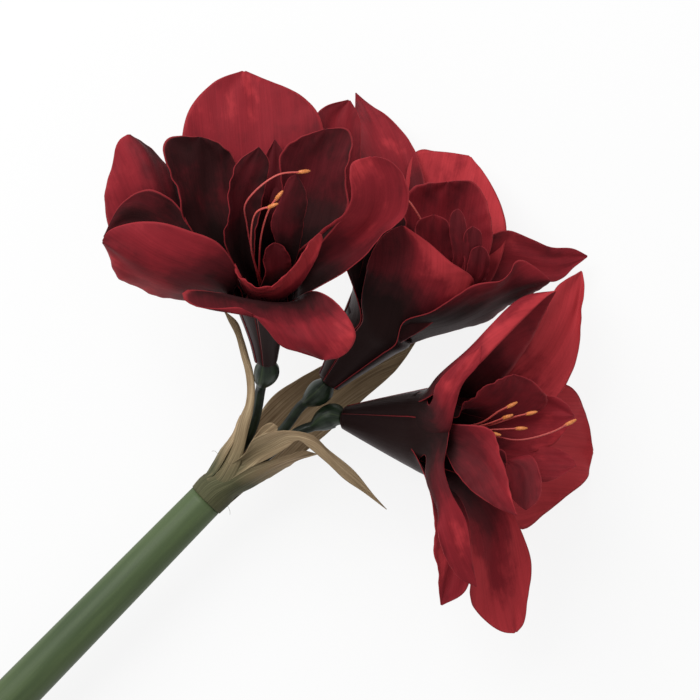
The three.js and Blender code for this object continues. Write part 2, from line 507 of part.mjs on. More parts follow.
const leftStamens = [
  [[26, 142, 134], [26, 153, 146], [41, 166, 150], [54, 168, 147]],
  [[28, 132, 134], [31, 148, 147], [39, 151, 152]],
  [[33, 137, 134], [38, 151, 146], [42, 156, 148]],
];
const middleStamens = [
  [[91, 94, 60]],
  [[94, 93, 56]],
  [[86, 103, 60], [95, 116, 64], [105, 128, 70], [115, 142, 78], [109, 155, 83], [103, 161, 84]],
];
const rightStamens = [
  [[143, 42, 78], [154, 49, 86], [160, 52, 88]],
  [[144, 41, 78], [158, 46, 86]],
  [[147, 41, 78], [162, 46, 86], [170, 48, 90]],
  [[145, 39, 78], [165, 40, 86]],
  [[141, 39, 76], [152, 37, 84]],
  [[150, 36, 78], [164, 34, 86], [180, 38, 90], [190, 43, 90]],
];

const part = new THREE.Group();
part.add(node('stem', stem(), STEM_GREEN, 0.55));
part.add(node('bract_back', joined(backBract), BRACT_TAN, 0.85));
part.add(node('bract_front', joined(frontBract), BRACT_TAN, 0.85));
stalks.forEach(([name, ...places]) => part.add(node(name, stalk(...places), STALK_GREEN, 0.4)));
part.add(bloom('bloom_left', leftRoot, leftOuter, leftInner));
part.add(bloom('bloom_middle', middleRoot, middleOuter, middleInner));
part.add(bloom('bloom_right', rightRoot, rightOuter, rightInner));
part.add(node('stamens_left', stamens(leftRoot, leftStamens), ANTHER_ORANGE, 0.6));
part.add(node('stamens_middle', stamens(middleRoot, middleStamens), ANTHER_ORANGE, 0.6));
part.add(node('stamens_right', stamens(rightRoot, rightStamens), ANTHER_ORANGE, 0.6));

// The part stands on the middle of its bounding box.
const box = new THREE.Box3().setFromObject(part);
const middle = box.getCenter(new THREE.Vector3());
part.position.set(-middle.x, -middle.y, -box.min.z);

export default part;
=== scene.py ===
# A cut amaryllis stem that lies on a pale surface: a thick green stem, papery bracts, three flower
# stalks with their ovaries, and three deep red, semi-double blooms with their stamens.
# Lengths are in millimetres until a piece is made, and +X runs from the stem's cut end to its head.
import math

import bpy
import numpy as np
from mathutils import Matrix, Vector


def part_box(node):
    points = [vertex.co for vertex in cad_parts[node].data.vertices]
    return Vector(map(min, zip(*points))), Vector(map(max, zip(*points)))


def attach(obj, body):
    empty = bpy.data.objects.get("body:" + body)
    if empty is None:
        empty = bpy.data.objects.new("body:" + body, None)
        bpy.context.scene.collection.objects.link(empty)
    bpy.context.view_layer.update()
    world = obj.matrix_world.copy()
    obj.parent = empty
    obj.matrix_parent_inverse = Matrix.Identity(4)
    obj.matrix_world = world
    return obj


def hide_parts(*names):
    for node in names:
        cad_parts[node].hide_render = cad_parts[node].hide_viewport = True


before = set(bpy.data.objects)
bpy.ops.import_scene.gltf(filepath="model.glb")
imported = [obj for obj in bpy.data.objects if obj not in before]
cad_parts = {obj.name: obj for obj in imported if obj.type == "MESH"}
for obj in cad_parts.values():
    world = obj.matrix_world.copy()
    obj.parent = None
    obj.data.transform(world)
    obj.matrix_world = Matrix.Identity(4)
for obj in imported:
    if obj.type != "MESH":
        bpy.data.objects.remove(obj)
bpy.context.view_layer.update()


# ---------------------------------------------------------------------------------------------
# Stem. A smooth, fleshy green scape, a little thicker at its cut end, where it is hollow. It
# carries everything else: its neck goes up inside the bracts.
MM = 0.001
STEM_LENGTH = 450.0
STEM_HEADING = math.radians(45.6)
STEM_AT = (-450.0, -146.0, 0.0)
STEM_HEIGHTS = (14.0, 26.0, 32.0)
STEM_RADII = (14.0, 11.6, 9.8)
NECK_RADIUS = 8.4
NECK_LENGTH = 9.0
HOLLOW_RADIUS = 8.5
HOLLOW_DEPTH = 30.0
STEM_SIDES = 72
STEM_STEPS = 150

stem_low, stem_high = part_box("stem")
COLLAR = np.array([stem_low.x / MM + STEM_LENGTH, (stem_low.y + stem_high.y) / 2 / MM, 0.0])


def seen(places):
    """Places as seen from above (across, up, height), from the middle of the collar."""
    p = np.asarray(places, float)
    c, s = math.cos(STEM_HEADING), math.sin(STEM_HEADING)
    return np.stack([p[..., 0] * c + p[..., 1] * s, p[..., 1] * c - p[..., 0] * s, p[..., 2]], -1)


def ease(a, b, x):
    t = np.clip((np.asarray(x, float) - a) / (b - a), 0, 1)
    return t * t * (3 - 2 * t)


def unit(v):
    return v / np.maximum(np.linalg.norm(v, axis=-1, keepdims=True), 1e-9)


def skin(name, shell, material, replaced, grown=None):
    """Makes a finished piece from a shell: its vertices in millimetres, its faces, the values that
    its vertices carry and its flat layout. grown is a Geometry Nodes tree, with its inputs' values,
    that adds to the piece."""
    vertices, faces, values, uv = shell
    mesh = bpy.data.meshes.new(name)
    mesh.from_pydata(((np.asarray(vertices) + COLLAR) * MM).tolist(), [], faces)
    for key, numbers in values.items():
        mesh.attributes.new(key, "FLOAT", "POINT").data.foreach_set("value", np.asarray(numbers, np.float32))
    if uv is not None:
        corners = np.zeros(len(mesh.loops), np.int32)
        mesh.loops.foreach_get("vertex_index", corners)
        mesh.uv_layers.new(name="blade").data.foreach_set("uv", np.asarray(uv, np.float32)[corners].ravel())
    mesh.polygons.foreach_set("use_smooth", np.ones(len(mesh.polygons), bool))
    mesh.materials.append(material)
    piece = bpy.data.objects.new(name, mesh)
    bpy.context.scene.collection.objects.link(piece)
    if grown:
        tree, inputs = grown
        modifier = piece.modifiers.new(tree.name, "NODES")
        modifier.node_group = tree
        sockets = {s.name: s.identifier for s in tree.interface.items_tree if s.in_out == "INPUT"}
        for key, value in inputs.items():
            modifier[sockets[key]] = value
        evaluated = piece.evaluated_get(bpy.context.evaluated_depsgraph_get())
        result = bpy.data.meshes.new_from_object(evaluated)
        piece.modifiers.remove(modifier)
        piece.data = result
    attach(piece, "root")
    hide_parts(*replaced)


def ring_faces(count, sides, first, last):
    """Quads between rings that follow each other, and a fan to the vertices first and last."""
    faces = []
    for i in range(count - 1):
        for j in range(sides):
            k = (j + 1) % sides
            faces.append((i * sides + j, i * sides + k, (i + 1) * sides + k, (i + 1) * sides + j))
    top = (count - 1) * sides
    for j in range(sides):
        k = (j + 1) % sides
        faces.append((first, k, j))
        faces.append((last, top + j, top + k))
    return faces


def join(value, target):
    """Links a socket to an input, or makes a number or a colour the input's own value."""
    if isinstance(value, bpy.types.NodeSocket):
        target.id_data.links.new(value, target)
    else:
        target.default_value = (*value, 1) if target.type == "RGBA" else value


def add(tree, kind, **settings):
    """Adds a node to a tree. What starts with in_ goes to the input of that name or number."""
    node = tree.nodes.new(kind)
    for key, value in settings.items():
        if key.startswith("in_"):
            name = key[3:].replace("_", " ")
            join(value, node.inputs[int(name) if name.isdigit() else name])
        else:
            setattr(node, key, value)
    return node


def tree_of(name, kind, inputs, output):
    """A new node group with its inputs, their kinds and defaults, and one output. Returns it and
    the sockets of its inputs."""
    tree = bpy.data.node_groups.new(name, kind)
    for key, sort, value in inputs:
        socket = tree.interface.new_socket(key, in_out="INPUT", socket_type="NodeSocket" + sort)
        if value is not None:
            socket.default_value = value
    tree.interface.new_socket(output[0], in_out="OUTPUT", socket_type="NodeSocket" + output[1])
    return tree, add(tree, "NodeGroupInput").outputs


def surface_of(name):
    """A new material, its node tree and its shader."""
    material = bpy.data.materials.new(name)
    material.use_nodes = True
    return material, material.node_tree, material.node_tree.nodes["Principled BSDF"]


def carried(tree, name):
    """A value that a piece's vertices carry."""
    return add(tree, "ShaderNodeAttribute", attribute_name=name).outputs["Fac"]


def ramp(value, stops):
    """A colour ramp through (place, colour) stops."""
    node = add(value.id_data, "ShaderNodeValToRGB", in_Fac=value)
    node.color_ramp.interpolation = "EASE"
    elements = node.color_ramp.elements
    while len(elements) < len(stops):
        elements.new(0.5)
    for element, (at, colour) in zip(elements, stops):
        element.position = at
        element.color = (*colour, 1) if isinstance(colour, tuple) else (colour, colour, colour, 1)
    return node.outputs["Color"]


def blend(mode, factor, a, b):
    """Mixes two colours. The factor is a number or a socket, and so is the second colour."""
    return add(a.id_data, "ShaderNodeMix", data_type="RGBA", blend_type=mode, in_0=factor, in_6=a, in_7=b).outputs[2]


def tint(colour, share, value, stops):
    """Multiplies a share of a colour by a ramp."""
    return blend("MULTIPLY", share, colour, ramp(value, stops))


def maths(operation, a, b=0.0, clamp=False):
    return add(a.id_data, "ShaderNodeMath", operation=operation, use_clamp=clamp, in_0=a, in_1=b).outputs[0]


def push(value, mask, share, middle=0.0, clamp=False):
    """Adds to a value a share of what a mask is above its middle."""
    if middle:
        mask = maths("SUBTRACT", mask, middle)
    return maths("ADD", maths("MULTIPLY", mask, share), value, clamp)


def coat(shader, colour, roughness, specular, strength, distance, height):
    """Gives a shader its colour, its gloss and its relief, with its strength and depth."""
    for name, value in (("Base Color", colour), ("Roughness", roughness), ("Specular IOR Level", specular)):
        join(value, shader.inputs[name])
    bump = add(shader.id_data, "ShaderNodeBump", in_Strength=strength, in_Distance=distance, in_Height=height)
    join(bump.outputs["Normal"], shader.inputs["Normal"])


# The drawn-out grain that every plant part has: fine noise, stretched along the part.
drawn_grain, given = tree_of("drawn_grain", "ShaderNodeTree", [
    ("Place", "Vector", None), ("Stretch", "Vector", (1, 1, 1)), ("Scale", "Float", 100.0), ("Detail", "Float", 4.0),
    ("Roughness", "Float", 0.55),
], ("Grain", "Float"))
mapping = add(drawn_grain, "ShaderNodeMapping", in_Vector=given["Place"], in_Scale=given["Stretch"])
noise = add(drawn_grain, "ShaderNodeTexNoise", in_Vector=mapping.outputs["Vector"], in_Scale=given["Scale"],
            in_Detail=given["Detail"], in_Roughness=given["Roughness"])
add(drawn_grain, "NodeGroupOutput", in_Grain=noise.outputs["Fac"])


def grain_of(place, scale, stretch=(1, 1, 1), detail=4.0, roughness=0.55):
    return add(place.id_data, "ShaderNodeGroup", node_tree=drawn_grain, in_Place=place, in_Scale=scale,
               in_Stretch=stretch, in_Detail=detail, in_Roughness=roughness).outputs["Grain"]


stem_angle = np.linspace(0, 2 * math.pi, STEM_SIDES, endpoint=False)
stem_rings, stem_cut = [], []


def stem_ring(x, height, radius, cut, rough=0.0, rib=0.0):
    """One ring of the stem. cut says how much of it is pith, and rough and rib how uneven it is."""
    waver = 1 + rough * np.sin(stem_angle * 7 + x) * 0.5 + rough * np.sin(stem_angle * 13 + 2.0) * 0.5 + rib
    y, z = radius * waver * np.cos(stem_angle), height + radius * waver * np.sin(stem_angle)
    stem_rings.append(np.stack([np.full(STEM_SIDES, x), y, np.maximum(z, 0.0)], -1))
    stem_cut.append(np.full(STEM_SIDES, cut))


bore_top = STEM_HEIGHTS[0] + 1
for inset, height, radius, rough in [
        (HOLLOW_DEPTH, bore_top, HOLLOW_RADIUS - 1.5, 0.0),
        (HOLLOW_DEPTH * 0.5, (bore_top + STEM_HEIGHTS[0]) / 2, HOLLOW_RADIUS - 0.6, 0.03),
        (1.2, STEM_HEIGHTS[0], HOLLOW_RADIUS - 0.1, 0.03),
        (0.2, STEM_HEIGHTS[0], HOLLOW_RADIUS + 0.4, 0.02),
        (0, STEM_HEIGHTS[0], (HOLLOW_RADIUS + STEM_RADII[0]) / 2, 0.0),
        (0, STEM_HEIGHTS[0], STEM_RADII[0] - 0.9, 0.0)]:
    stem_ring(STEM_AT[0] + inset, height, radius, 1.0, rough)
stem_ring(STEM_AT[0] + 0.3, STEM_HEIGHTS[0], STEM_RADII[0] - 0.3, 0.5)
for x in np.linspace(STEM_AT[0], STEM_AT[2], STEM_STEPS)[1:]:
    rib = 0.006 * np.sin(stem_angle * 2 + 0.6) + 0.003 * np.sin(stem_angle * 5 + x / 90)
    stem_ring(x, np.interp(x, STEM_AT, STEM_HEIGHTS), np.interp(x, STEM_AT, STEM_RADII), 0.0, rib=rib)
stem_ring(0.6, STEM_HEIGHTS[2], NECK_RADIUS, 0.0)
stem_ring(NECK_LENGTH, STEM_HEIGHTS[2], NECK_RADIUS, 0.0)
stem_ends = [[STEM_AT[0] + HOLLOW_DEPTH, 0, bore_top], [NECK_LENGTH, 0, STEM_HEIGHTS[2]]]
stem_points = np.concatenate(stem_rings + [stem_ends])
stem_faces = ring_faces(len(stem_rings), STEM_SIDES, len(stem_points) - 2, len(stem_points) - 1)

stem_green, tree, shader = surface_of("stem_green")
where = add(tree, "ShaderNodeTexCoord").outputs["Object"]
bands = grain_of(where, 55, (0.10, 1.0, 1.0), 3, 0.5)
streaks = grain_of(where, 260, (0.05, 1.0, 1.0), 5, 0.6)
specks = grain_of(where, 900, (1, 1, 1), 2)
green = ramp(bands, [(0.30, (0.034, 0.057, 0.020)), (0.55, (0.058, 0.087, 0.032)), (0.75, (0.100, 0.130, 0.062))])
green = tint(green, 0.7, streaks, [(0.35, (0.78, 0.80, 0.74)), (0.65, (1.05, 1.05, 1.0))])
green = tint(green, 0.5, specks, [(0.62, 1.0), (0.74, (1.35, 1.3, 1.25))])
pith = ramp(specks, [(0.35, (0.24, 0.30, 0.12)), (0.65, (0.55, 0.60, 0.36))])
green = blend("MIX", carried(tree, "cut"), green, pith)
coat(shader, green, ramp(bands, [(0.3, 0.46), (0.7, 0.60)]), 0.35, 0.25, 0.0004, streaks)

skin("scape", (stem_points, stem_faces, {"cut": np.concatenate(stem_cut + [[1.0, 0.0]])}, None), stem_green,
     ["stem"])


# ---------------------------------------------------------------------------------------------
# Bracts. The two dry, papery valves of the sheath that wrapped the buds. They grow round the
# stem's neck. The back one stays broad, and the front one is torn into flaps and curling strips.
SPAN_SAMPLES = 60


def spline(points):
    """A smooth centripetal curve through points: its samples, and its length at each given point."""
    p = np.asarray(points, float)
    p = np.concatenate([[2 * p[0] - p[1]], p, [2 * p[-1] - p[-2]]])
    samples, marks = [], [0]
    f = np.linspace(0, 1, SPAN_SAMPLES, endpoint=False)[:, None]
    for i in range(1, len(p) - 2):
        d = [max(np.linalg.norm(p[i + k + 1] - p[i + k]) ** 0.5, 1e-4) for k in (-1, 0, 1)]
        out = (p[i] - p[i - 1]) / d[0] - (p[i + 1] - p[i - 1]) / (d[0] + d[1]) + (p[i + 1] - p[i]) / d[1]
        back = (p[i + 1] - p[i]) / d[1] - (p[i + 2] - p[i]) / (d[1] + d[2]) + (p[i + 2] - p[i + 1]) / d[2]
        a, b = out * d[1], back * d[1]
        samples.append(p[i] + a * f + (3 * (p[i + 1] - p[i]) - 2 * a - b) * f**2
                       + (2 * (p[i] - p[i + 1]) + a + b) * f**3)
        marks.append(marks[-1] + SPAN_SAMPLES)
    samples = np.concatenate(samples + [p[-2:-1]])
    lengths = np.concatenate([[0], np.cumsum(np.linalg.norm(np.diff(samples, axis=0), axis=1))])
    return samples, lengths, lengths[marks]


def read(values, t):
    """A smooth curve through evenly spaced values, read at t from 0 to 1."""
    v = np.asarray(values, float)
    last = len(v) - 1
    x = np.clip(t, 0, 1) * last
    i = np.minimum(np.floor(x).astype(int), last - 1)
    f = x - i
    a, b, c, d = (v[np.clip(i + k, 0, last)] for k in (-1, 0, 1, 2))
    return 0.5 * (2 * b + (c - a) * f + (2 * a - 5 * b + 4 * c - d) * f**2 + (3 * b - a - 3 * c + d) * f**3)


class Root:
    """Where blades grow from. Angle 0 round its axis is the side nearest the sky. A bloom's root
    has a throat, a funnel that widens from its foot to its mouth."""

    def __init__(self, origin, heading, rise, foot=6.0, mouth=9.3, flare=1.0, length=45.0):
        az, el = math.radians(heading) - STEM_HEADING, math.radians(rise)
        self.origin = np.asarray(origin, float)
        self.axis = np.array([math.cos(az) * math.cos(el), math.sin(az) * math.cos(el), math.sin(el)])
        self.sky = unit(np.array([0.0, 0.0, 1.0]) - self.axis * self.axis[2])
        self.side = np.cross(self.axis, self.sky)
        self.foot, self.mouth, self.flare, self.length = foot, mouth, flare, length

    def outward(self, angle):
        a = math.radians(angle)
        return self.sky * math.cos(a) + self.side * math.sin(a)

    def at(self, angle, radius, height):
        return self.origin + self.outward(angle) * radius + self.axis * height

    def radius(self, height):
        return self.foot + (self.mouth - self.foot) * (np.maximum(height, 0) / self.length) ** self.flare


def blade(shape, root, stations, held_at, rows, columns, thickness, seed):
    """One petal or bract: a closed sheet between its low margin, its midrib and its high margin,
    which start side by side round the root and meet at the tip. Up to the station numbered held_at
    it hugs the root. Returns its vertices, faces and values, and its flat layout."""
    draw = np.random.default_rng(seed)
    r = np.linspace(0, 1, rows + 1)
    reach = (1 - (1 - r) ** 1.25) * 0.995
    rails = []
    for turn, key in ((0, "mid"), (-shape["hug"], "low"), (shape["hug"], "high")):
        foot = [root.at(shape["angle"] + turn, radius, height) for radius, height in stations]
        samples, lengths, marks = spline([*foot, *seen([*shape[key], shape["tip"]])])
        held, whole = marks[held_at], lengths[-1]
        if key == "mid":
            s = reach * whole
            u = np.clip((s - held) / (whole - held), 0, 1)
            share = np.clip(s / max(held, 1e-6), 0, 1)
            rib_held = held
        place = np.where(s < rib_held, share * held, held + u * (whole - held))
        rails.append(np.stack([np.interp(place, lengths, samples[:, k]) for k in range(3)], 1)[:, None])
    middle, low, high = rails
    v = np.linspace(-1, 1, columns + 1)
    loose = ease(0.0, 0.3, u)[:, None]
    bow = math.radians(shape["hug"])
    lateral = (1 - loose) * np.sin(v * bow) / math.sin(bow) + loose * v
    rise = (1 - loose) * (1 - np.cos(v * bow)) / (1 - math.cos(bow)) + loose * np.abs(v) ** shape["fold"]
    grid = middle + lateral[..., None] * (high - low) / 2 + rise[..., None] * ((high + low) / 2 - middle)
    half = np.linalg.norm(high - low, axis=2) / 2
    over, along = np.gradient(grid, axis=1), np.gradient(grid, axis=0)
    out = unit(np.cross(over, along))
    turned = (out[1, columns // 2] @ root.outward(shape["angle"])) > 0
    if turned:
        out = -out
    e, side = np.abs(v), np.sign(v)
    drift = draw.uniform(0, 2 * math.pi, 9)
    edge = ease(0.25, 0.6, u)[:, None] * np.minimum(1, half / 9)
    u2 = u[:, None]
    wave = np.sin(2 * math.pi * 2.2 * u2 + drift[0] + side * 1.3)
    wave = wave + 0.6 * np.sin(2 * math.pi * 4.1 * u2 + drift[1] - side)
    frill = np.sin(2 * math.pi * 8.3 * u2 + drift[2] * side) * np.sin(2 * math.pi * 3.1 * u2 + drift[3])
    frill = frill + 0.35 * np.sin(2 * math.pi * 15 * u2 + drift[4] + side)
    dent = np.sin(2.4 * math.pi * u2 + side * e * 3 + drift[5]) * np.sin(side * e * 4 + drift[6])
    dent = dent + 0.5 * np.sin(9 * u2 + drift[7]) * np.cos(v * 6 + drift[8])
    lift = edge * (shape["wave"] * wave * e**2.5 + shape["ruffle"] * frill * e**5 + shape["dent"] * dent * (1 - e**4))
    lift = lift + shape["furrow"] * np.cos(v * columns * 0.95) * ease(0.02, 0.3, u)[:, None]
    grid = grid + out * lift[..., None]
    over, along = np.gradient(grid, axis=1), np.gradient(grid, axis=0)
    out = unit(np.cross(over, along)) * (-1 if turned else 1)
    depth = thickness / 2 * (1 - 0.5 * e**6)[None, :, None] * (1 - 0.4 * u2[..., None] ** 8)
    inner, outer = grid + out * depth, grid - out * depth
    lower = inner[..., 2] < outer[..., 2]
    inner[..., 2] = np.where(lower, np.maximum(inner[..., 2], 0), np.maximum(inner[..., 2], thickness))
    outer[..., 2] = np.where(lower, np.maximum(outer[..., 2], thickness), np.maximum(outer[..., 2], 0))
    faces = sheet_faces(rows + 1, columns + 1, not turned)
    layout = grid.shape[:2]
    # along runs below zero down the tube, where the material paints the red darker: partly the tube's own colour,
    # partly painted shade.
    opening = np.where(s < rib_held, (s - rib_held) / max(rib_held, 1) * 0.35, u)
    values = {"along": opening[:, None], "across": v, "shade": read(shape["shade"], (v + 1) / 2)}
    values = {k: np.tile(np.broadcast_to(x, layout).ravel(), 2) for k, x in values.items()}
    values["outer"] = np.repeat([0.0, 1.0], layout[0] * layout[1])
    uv = np.stack([(v * half).ravel() * MM + seed * 0.31, np.broadcast_to(s[:, None], layout).ravel() * MM], 1)
    return np.concatenate([inner.reshape(-1, 3), outer.reshape(-1, 3)]), faces, values, np.concatenate([uv, uv])


def sheet_faces(m, n, flip):
    """Both faces and the rim of a sheet of m rows by n columns."""
    under = m * n
    faces = []
    for i in range(m - 1):
        for j in range(n - 1):
            a, b, c, d = i * n + j, i * n + j + 1, (i + 1) * n + j + 1, (i + 1) * n + j
            faces.append((a, b, c, d))
            faces.append((under + a, under + d, under + c, under + b))
    rim = list(range(n - 1)) + [i * n + n - 1 for i in range(m - 1)]
    rim += [(m - 1) * n + j for j in range(n - 1, 0, -1)] + [i * n for i in range(m - 1, 0, -1)]
    for k, a in enumerate(rim):
        b = rim[(k + 1) % len(rim)]
        faces.append((a, under + a, under + b, b))
    return faces if flip else [f[::-1] for f in faces]


def gather(parts):
    """Puts several closed shells into one mesh's vertices, faces and values."""
    vertices, faces, values, uvs, start = [], [], {}, [], 0
    for points, shell, given, uv in parts:
        vertices.append(points)
        faces += [tuple(start + k for k in f) for f in shell]
        for key, numbers in given.items():
            values.setdefault(key, []).append(numbers)
        uvs.append(uv)
        start += len(points)
    return np.concatenate(vertices), faces, {k: np.concatenate(v) for k, v in values.items()}, np.concatenate(uvs)


VALVE_RADIUS = 9.6
SHEATH = Root((0, 0, STEM_HEIGHTS[2]), math.degrees(STEM_HEADING), 0)
BRACT_SHEET = (110, 28, 0.55)  # rows, columns and thickness
# hug is the angle from a blade's midrib to its margin, round its root. fold bends it across, shade
# sets, from margin to margin, how green or dry a bract is and how dark a petal is, and wave, ruffle, dent and furrow
# are heights. A petal's shade is partly its own darker tone and partly painted shade, and below zero it is painted
# light.
BRACT = dict(hug=30, fold=2.0, shade=(0, 0, 0), wave=0.25, ruffle=0.12, dent=0.35, furrow=0.07, layer=0.0)

bract_paper, tree, shader = surface_of("bract_paper")
sheet_uv = add(tree, "ShaderNodeUVMap", uv_map="blade").outputs["UV"]
fibres = grain_of(sheet_uv, 2300, (1.0, 0.010, 1.0), 4, 0.6)
strips = grain_of(sheet_uv, 420, (1.0, 0.02, 1.0), 3, 0.5)
blotches = grain_of(sheet_uv, 70, (1.0, 0.4, 1.0), 4, 0.6)
dry = ramp(fibres, [(0.30, (0.190, 0.130, 0.074)), (0.50, (0.335, 0.240, 0.144)), (0.68, (0.500, 0.380, 0.245))])
dry = tint(dry, 0.45, strips, [(0.30, (0.50, 0.46, 0.40)), (0.6, (1.05, 1.03, 0.97))])
dry = tint(dry, 0.5, blotches, [(0.35, (0.60, 0.55, 0.48)), (0.6, (1.05, 1.05, 1.0))])
olive = ramp(fibres, [(0.30, (0.032, 0.033, 0.013)), (0.50, (0.060, 0.060, 0.025)), (0.68, (0.105, 0.100, 0.050))])
olive = tint(olive, 0.5, strips, [(0.32, 0.55), (0.6, 1.05)])
fresh = push(push(0.55, carried(tree, "along"), -2.2), carried(tree, "shade"), 1.15)
fresh = push(fresh, blotches, 0.8, 0.5, True)
coat(shader, blend("MIX", fresh, dry, olive), 0.72, 0.25, 0.6, 0.0004, fibres)


def bract(given, seed):
    shape = {**BRACT, **given}
    radius = VALVE_RADIUS + shape["layer"]
    return blade(shape, SHEATH, [(radius, 0.35), (radius + 0.3, 8)], 0, *BRACT_SHEET, seed)


def scatter_on(tree, given, name, limit):
    """Scatters points over the faces where the named value, either way, is beyond a limit."""
    value = add(tree, "GeometryNodeInputNamedAttribute", data_type="FLOAT", in_Name=name).outputs["Attribute"]
    beyond = add(tree, "FunctionNodeCompare", data_type="FLOAT", operation="GREATER_THAN",
                 in_0=maths("ABSOLUTE", value), in_1=limit)
    return add(tree, "GeometryNodeDistributePointsOnFaces", distribute_method="RANDOM", in_Mesh=given["Geometry"],
               in_Selection=beyond.outputs["Result"], in_Density=given["Count per Area"],
               in_Seed=given["Seed"]).outputs


def copies(tree, points, shape, **turned):
    """Puts a copy of a shape on each point and makes the copies real."""
    placed = add(tree, "GeometryNodeInstanceOnPoints", in_Points=points["Points"], in_Instance=shape, **turned)
    return add(tree, "GeometryNodeRealizeInstances", in_0=placed.outputs["Instances"]).outputs[0]


def join_to_piece(tree, given, grown, material):
    """Joins what has grown to the piece, gives both a material and ends the tree."""
    both = add(tree, "GeometryNodeJoinGeometry")
    join(given["Geometry"], both.inputs[0])
    join(grown, both.inputs[0])
    painted = add(tree, "GeometryNodeSetMaterial", in_Geometry=both.outputs[0], in_Material=given[material])
    add(tree, "NodeGroupOutput", in_0=painted.outputs[0])


# Stray hairs: a few loose fibres stand off the bracts where their edges have split.
stray_hairs, given = tree_of("stray_hairs", "GeometryNodeTree", [
    ("Geometry", "Geometry", None), ("Count per Area", "Float", 0.0), ("Length", "Float", 0.006),
    ("Radius", "Float", 0.00008), ("Seed", "Int", 0), ("Paper", "Material", None),
], ("Geometry", "Geometry"))
margins = scatter_on(stray_hairs, given, "across", 0.9)
hair_line = add(stray_hairs, "GeometryNodeCurveQuadraticBezier", in_Resolution=8, in_Start=(0, 0, -0.0004))
for name, shares in (("End", (0.55, 0.2, 0.8)), ("Middle", (0.05, 0.0, 0.55))):
    at = add(stray_hairs, "ShaderNodeCombineXYZ")
    for axis, share in zip("XYZ", shares):
        join(maths("MULTIPLY", given["Length"], share), at.inputs[axis])
    join(at.outputs[0], hair_line.inputs[name])
hair_round = add(stray_hairs, "GeometryNodeCurvePrimitiveCircle", in_Resolution=5, in_Radius=given["Radius"])
hair = add(stray_hairs, "GeometryNodeCurveToMesh", in_Curve=hair_line.outputs["Curve"],
           in_Profile_Curve=hair_round.outputs["Curve"], in_Fill_Caps=True)
lean = add(stray_hairs, "FunctionNodeRandomValue", data_type="FLOAT_VECTOR", in_Min=(-0.9, -0.9, 0),
           in_Max=(0.9, 0.9, 6.28), in_Seed=given["Seed"])
lean = add(stray_hairs, "FunctionNodeEulerToRotation", in_0=lean.outputs["Value"])
turn = add(stray_hairs, "FunctionNodeRotateRotation", rotation_space="LOCAL", in_Rotation=margins["Rotation"],
           in_Rotate_By=lean.outputs[0])
hairs = copies(stray_hairs, margins, hair.outputs["Mesh"], in_Rotation=turn.outputs[0])
join_to_piece(stray_hairs, given, hairs, "Paper")

skin("sheath_back", bract(dict(
    angle=180, hug=84, layer=0.6, shade=(-0.4, -0.4, 0), tip=(114, 87, 30), low=[(30, 12, 24), (45, 20, 20),
    (62, 33, 17), (88, 57, 20), (103, 71, 25)], mid=[(30, 25, 13), (53, 47, 9), (83, 71, 15)],
    high=[(20, 26, 24), (27, 43, 20), (36, 56, 18), (52, 66, 18), (74, 77, 22), (96, 83, 28)],
), 11), bract_paper, ["bract_back"])

skin("sheath_front", gather([bract(given, 21 + k) for k, given in enumerate([
    dict(angle=25, hug=60, layer=0.6, shade=(1, 0.9, 1), tip=(60, 25, 38), low=[(11, 13, 43), (19, 19, 45),
         (31, 21, 46), (45, 25, 45), (52, 27, 43)], mid=[(17, 8, 42), (28, 14, 43), (43, 21, 42)], high=[(16, 2, 32),
         (25, 7, 32), (34, 12, 33), (44, 18, 34), (51, 23, 36)]),
    dict(angle=310, hug=34, layer=0.3, shade=(0.6, 0.6, 0.6), tip=(11, 101, 58), low=[(1, 13, 38), (9, 21, 39),
         (15, 32, 42), (19, 45, 46), (22, 52, 50), (23, 60, 53), (22, 69, 54), (20, 77, 55), (17, 88, 56),
         (13, 96, 57)], mid=[(7, 10, 42), (14, 20, 45), (19, 31, 46), (22, 43, 50), (25, 52, 53), (26, 60, 56),
         (25, 69, 57), (22, 77, 57), (19, 88, 57), (15, 96, 58)], high=[(15, 10, 43), (19, 19, 45), (21, 27, 46),
         (23, 36, 48), (26, 48, 52), (27, 59, 56), (26, 69, 56), (24, 77, 56), (21, 87, 56), (18, 95, 57)]),
    dict(angle=292, hug=17, shade=(1, 1, 1), tip=(19, 46, 40), low=[(0, 14, 32), (8, 27, 34), (14, 35, 36),
         (17, 42, 38)], mid=[(3, 14, 38), (11, 27, 40), (16, 35, 41), (18, 42, 41)], high=[(5, 14, 41), (13, 27, 43),
         (17, 35, 43), (19, 42, 42)]),
    dict(angle=335, hug=26, shade=(0.35, 0.5, 0.35), tip=(97, -5, 34), low=[(21, 25, 50), (27, 34, 56),
         (41, 38, 62), (57, 36, 62), (66, 28, 58), (79, 17, 50), (90, 3, 40)], mid=[(24, 24, 46), (35, 30, 53),
         (46, 35, 60), (58, 32, 61), (70, 20, 54), (82, 9, 45)], high=[(24, 18, 47), (34, 23, 50), (44, 29, 56),
         (50, 33, 59), (57, 28, 58), (66, 20, 55), (74, 12, 48), (84, 5, 42)]),
    dict(angle=335, hug=15, shade=(0.2, 0.2, 0.2), tip=(39, 40, 46), low=[(18, 20, 44), (25, 32, 46),
         (31, 40, 47), (35, 42, 47)], mid=[(20, 19, 44), (27, 30, 45), (34, 36, 45)], high=[(22, 18, 44),
         (31, 27, 44), (38, 35, 45)]),
])]), bract_paper, ["bract_front"],
     (stray_hairs, {"Count per Area": 9000.0, "Seed": 5, "Paper": bract_paper}))


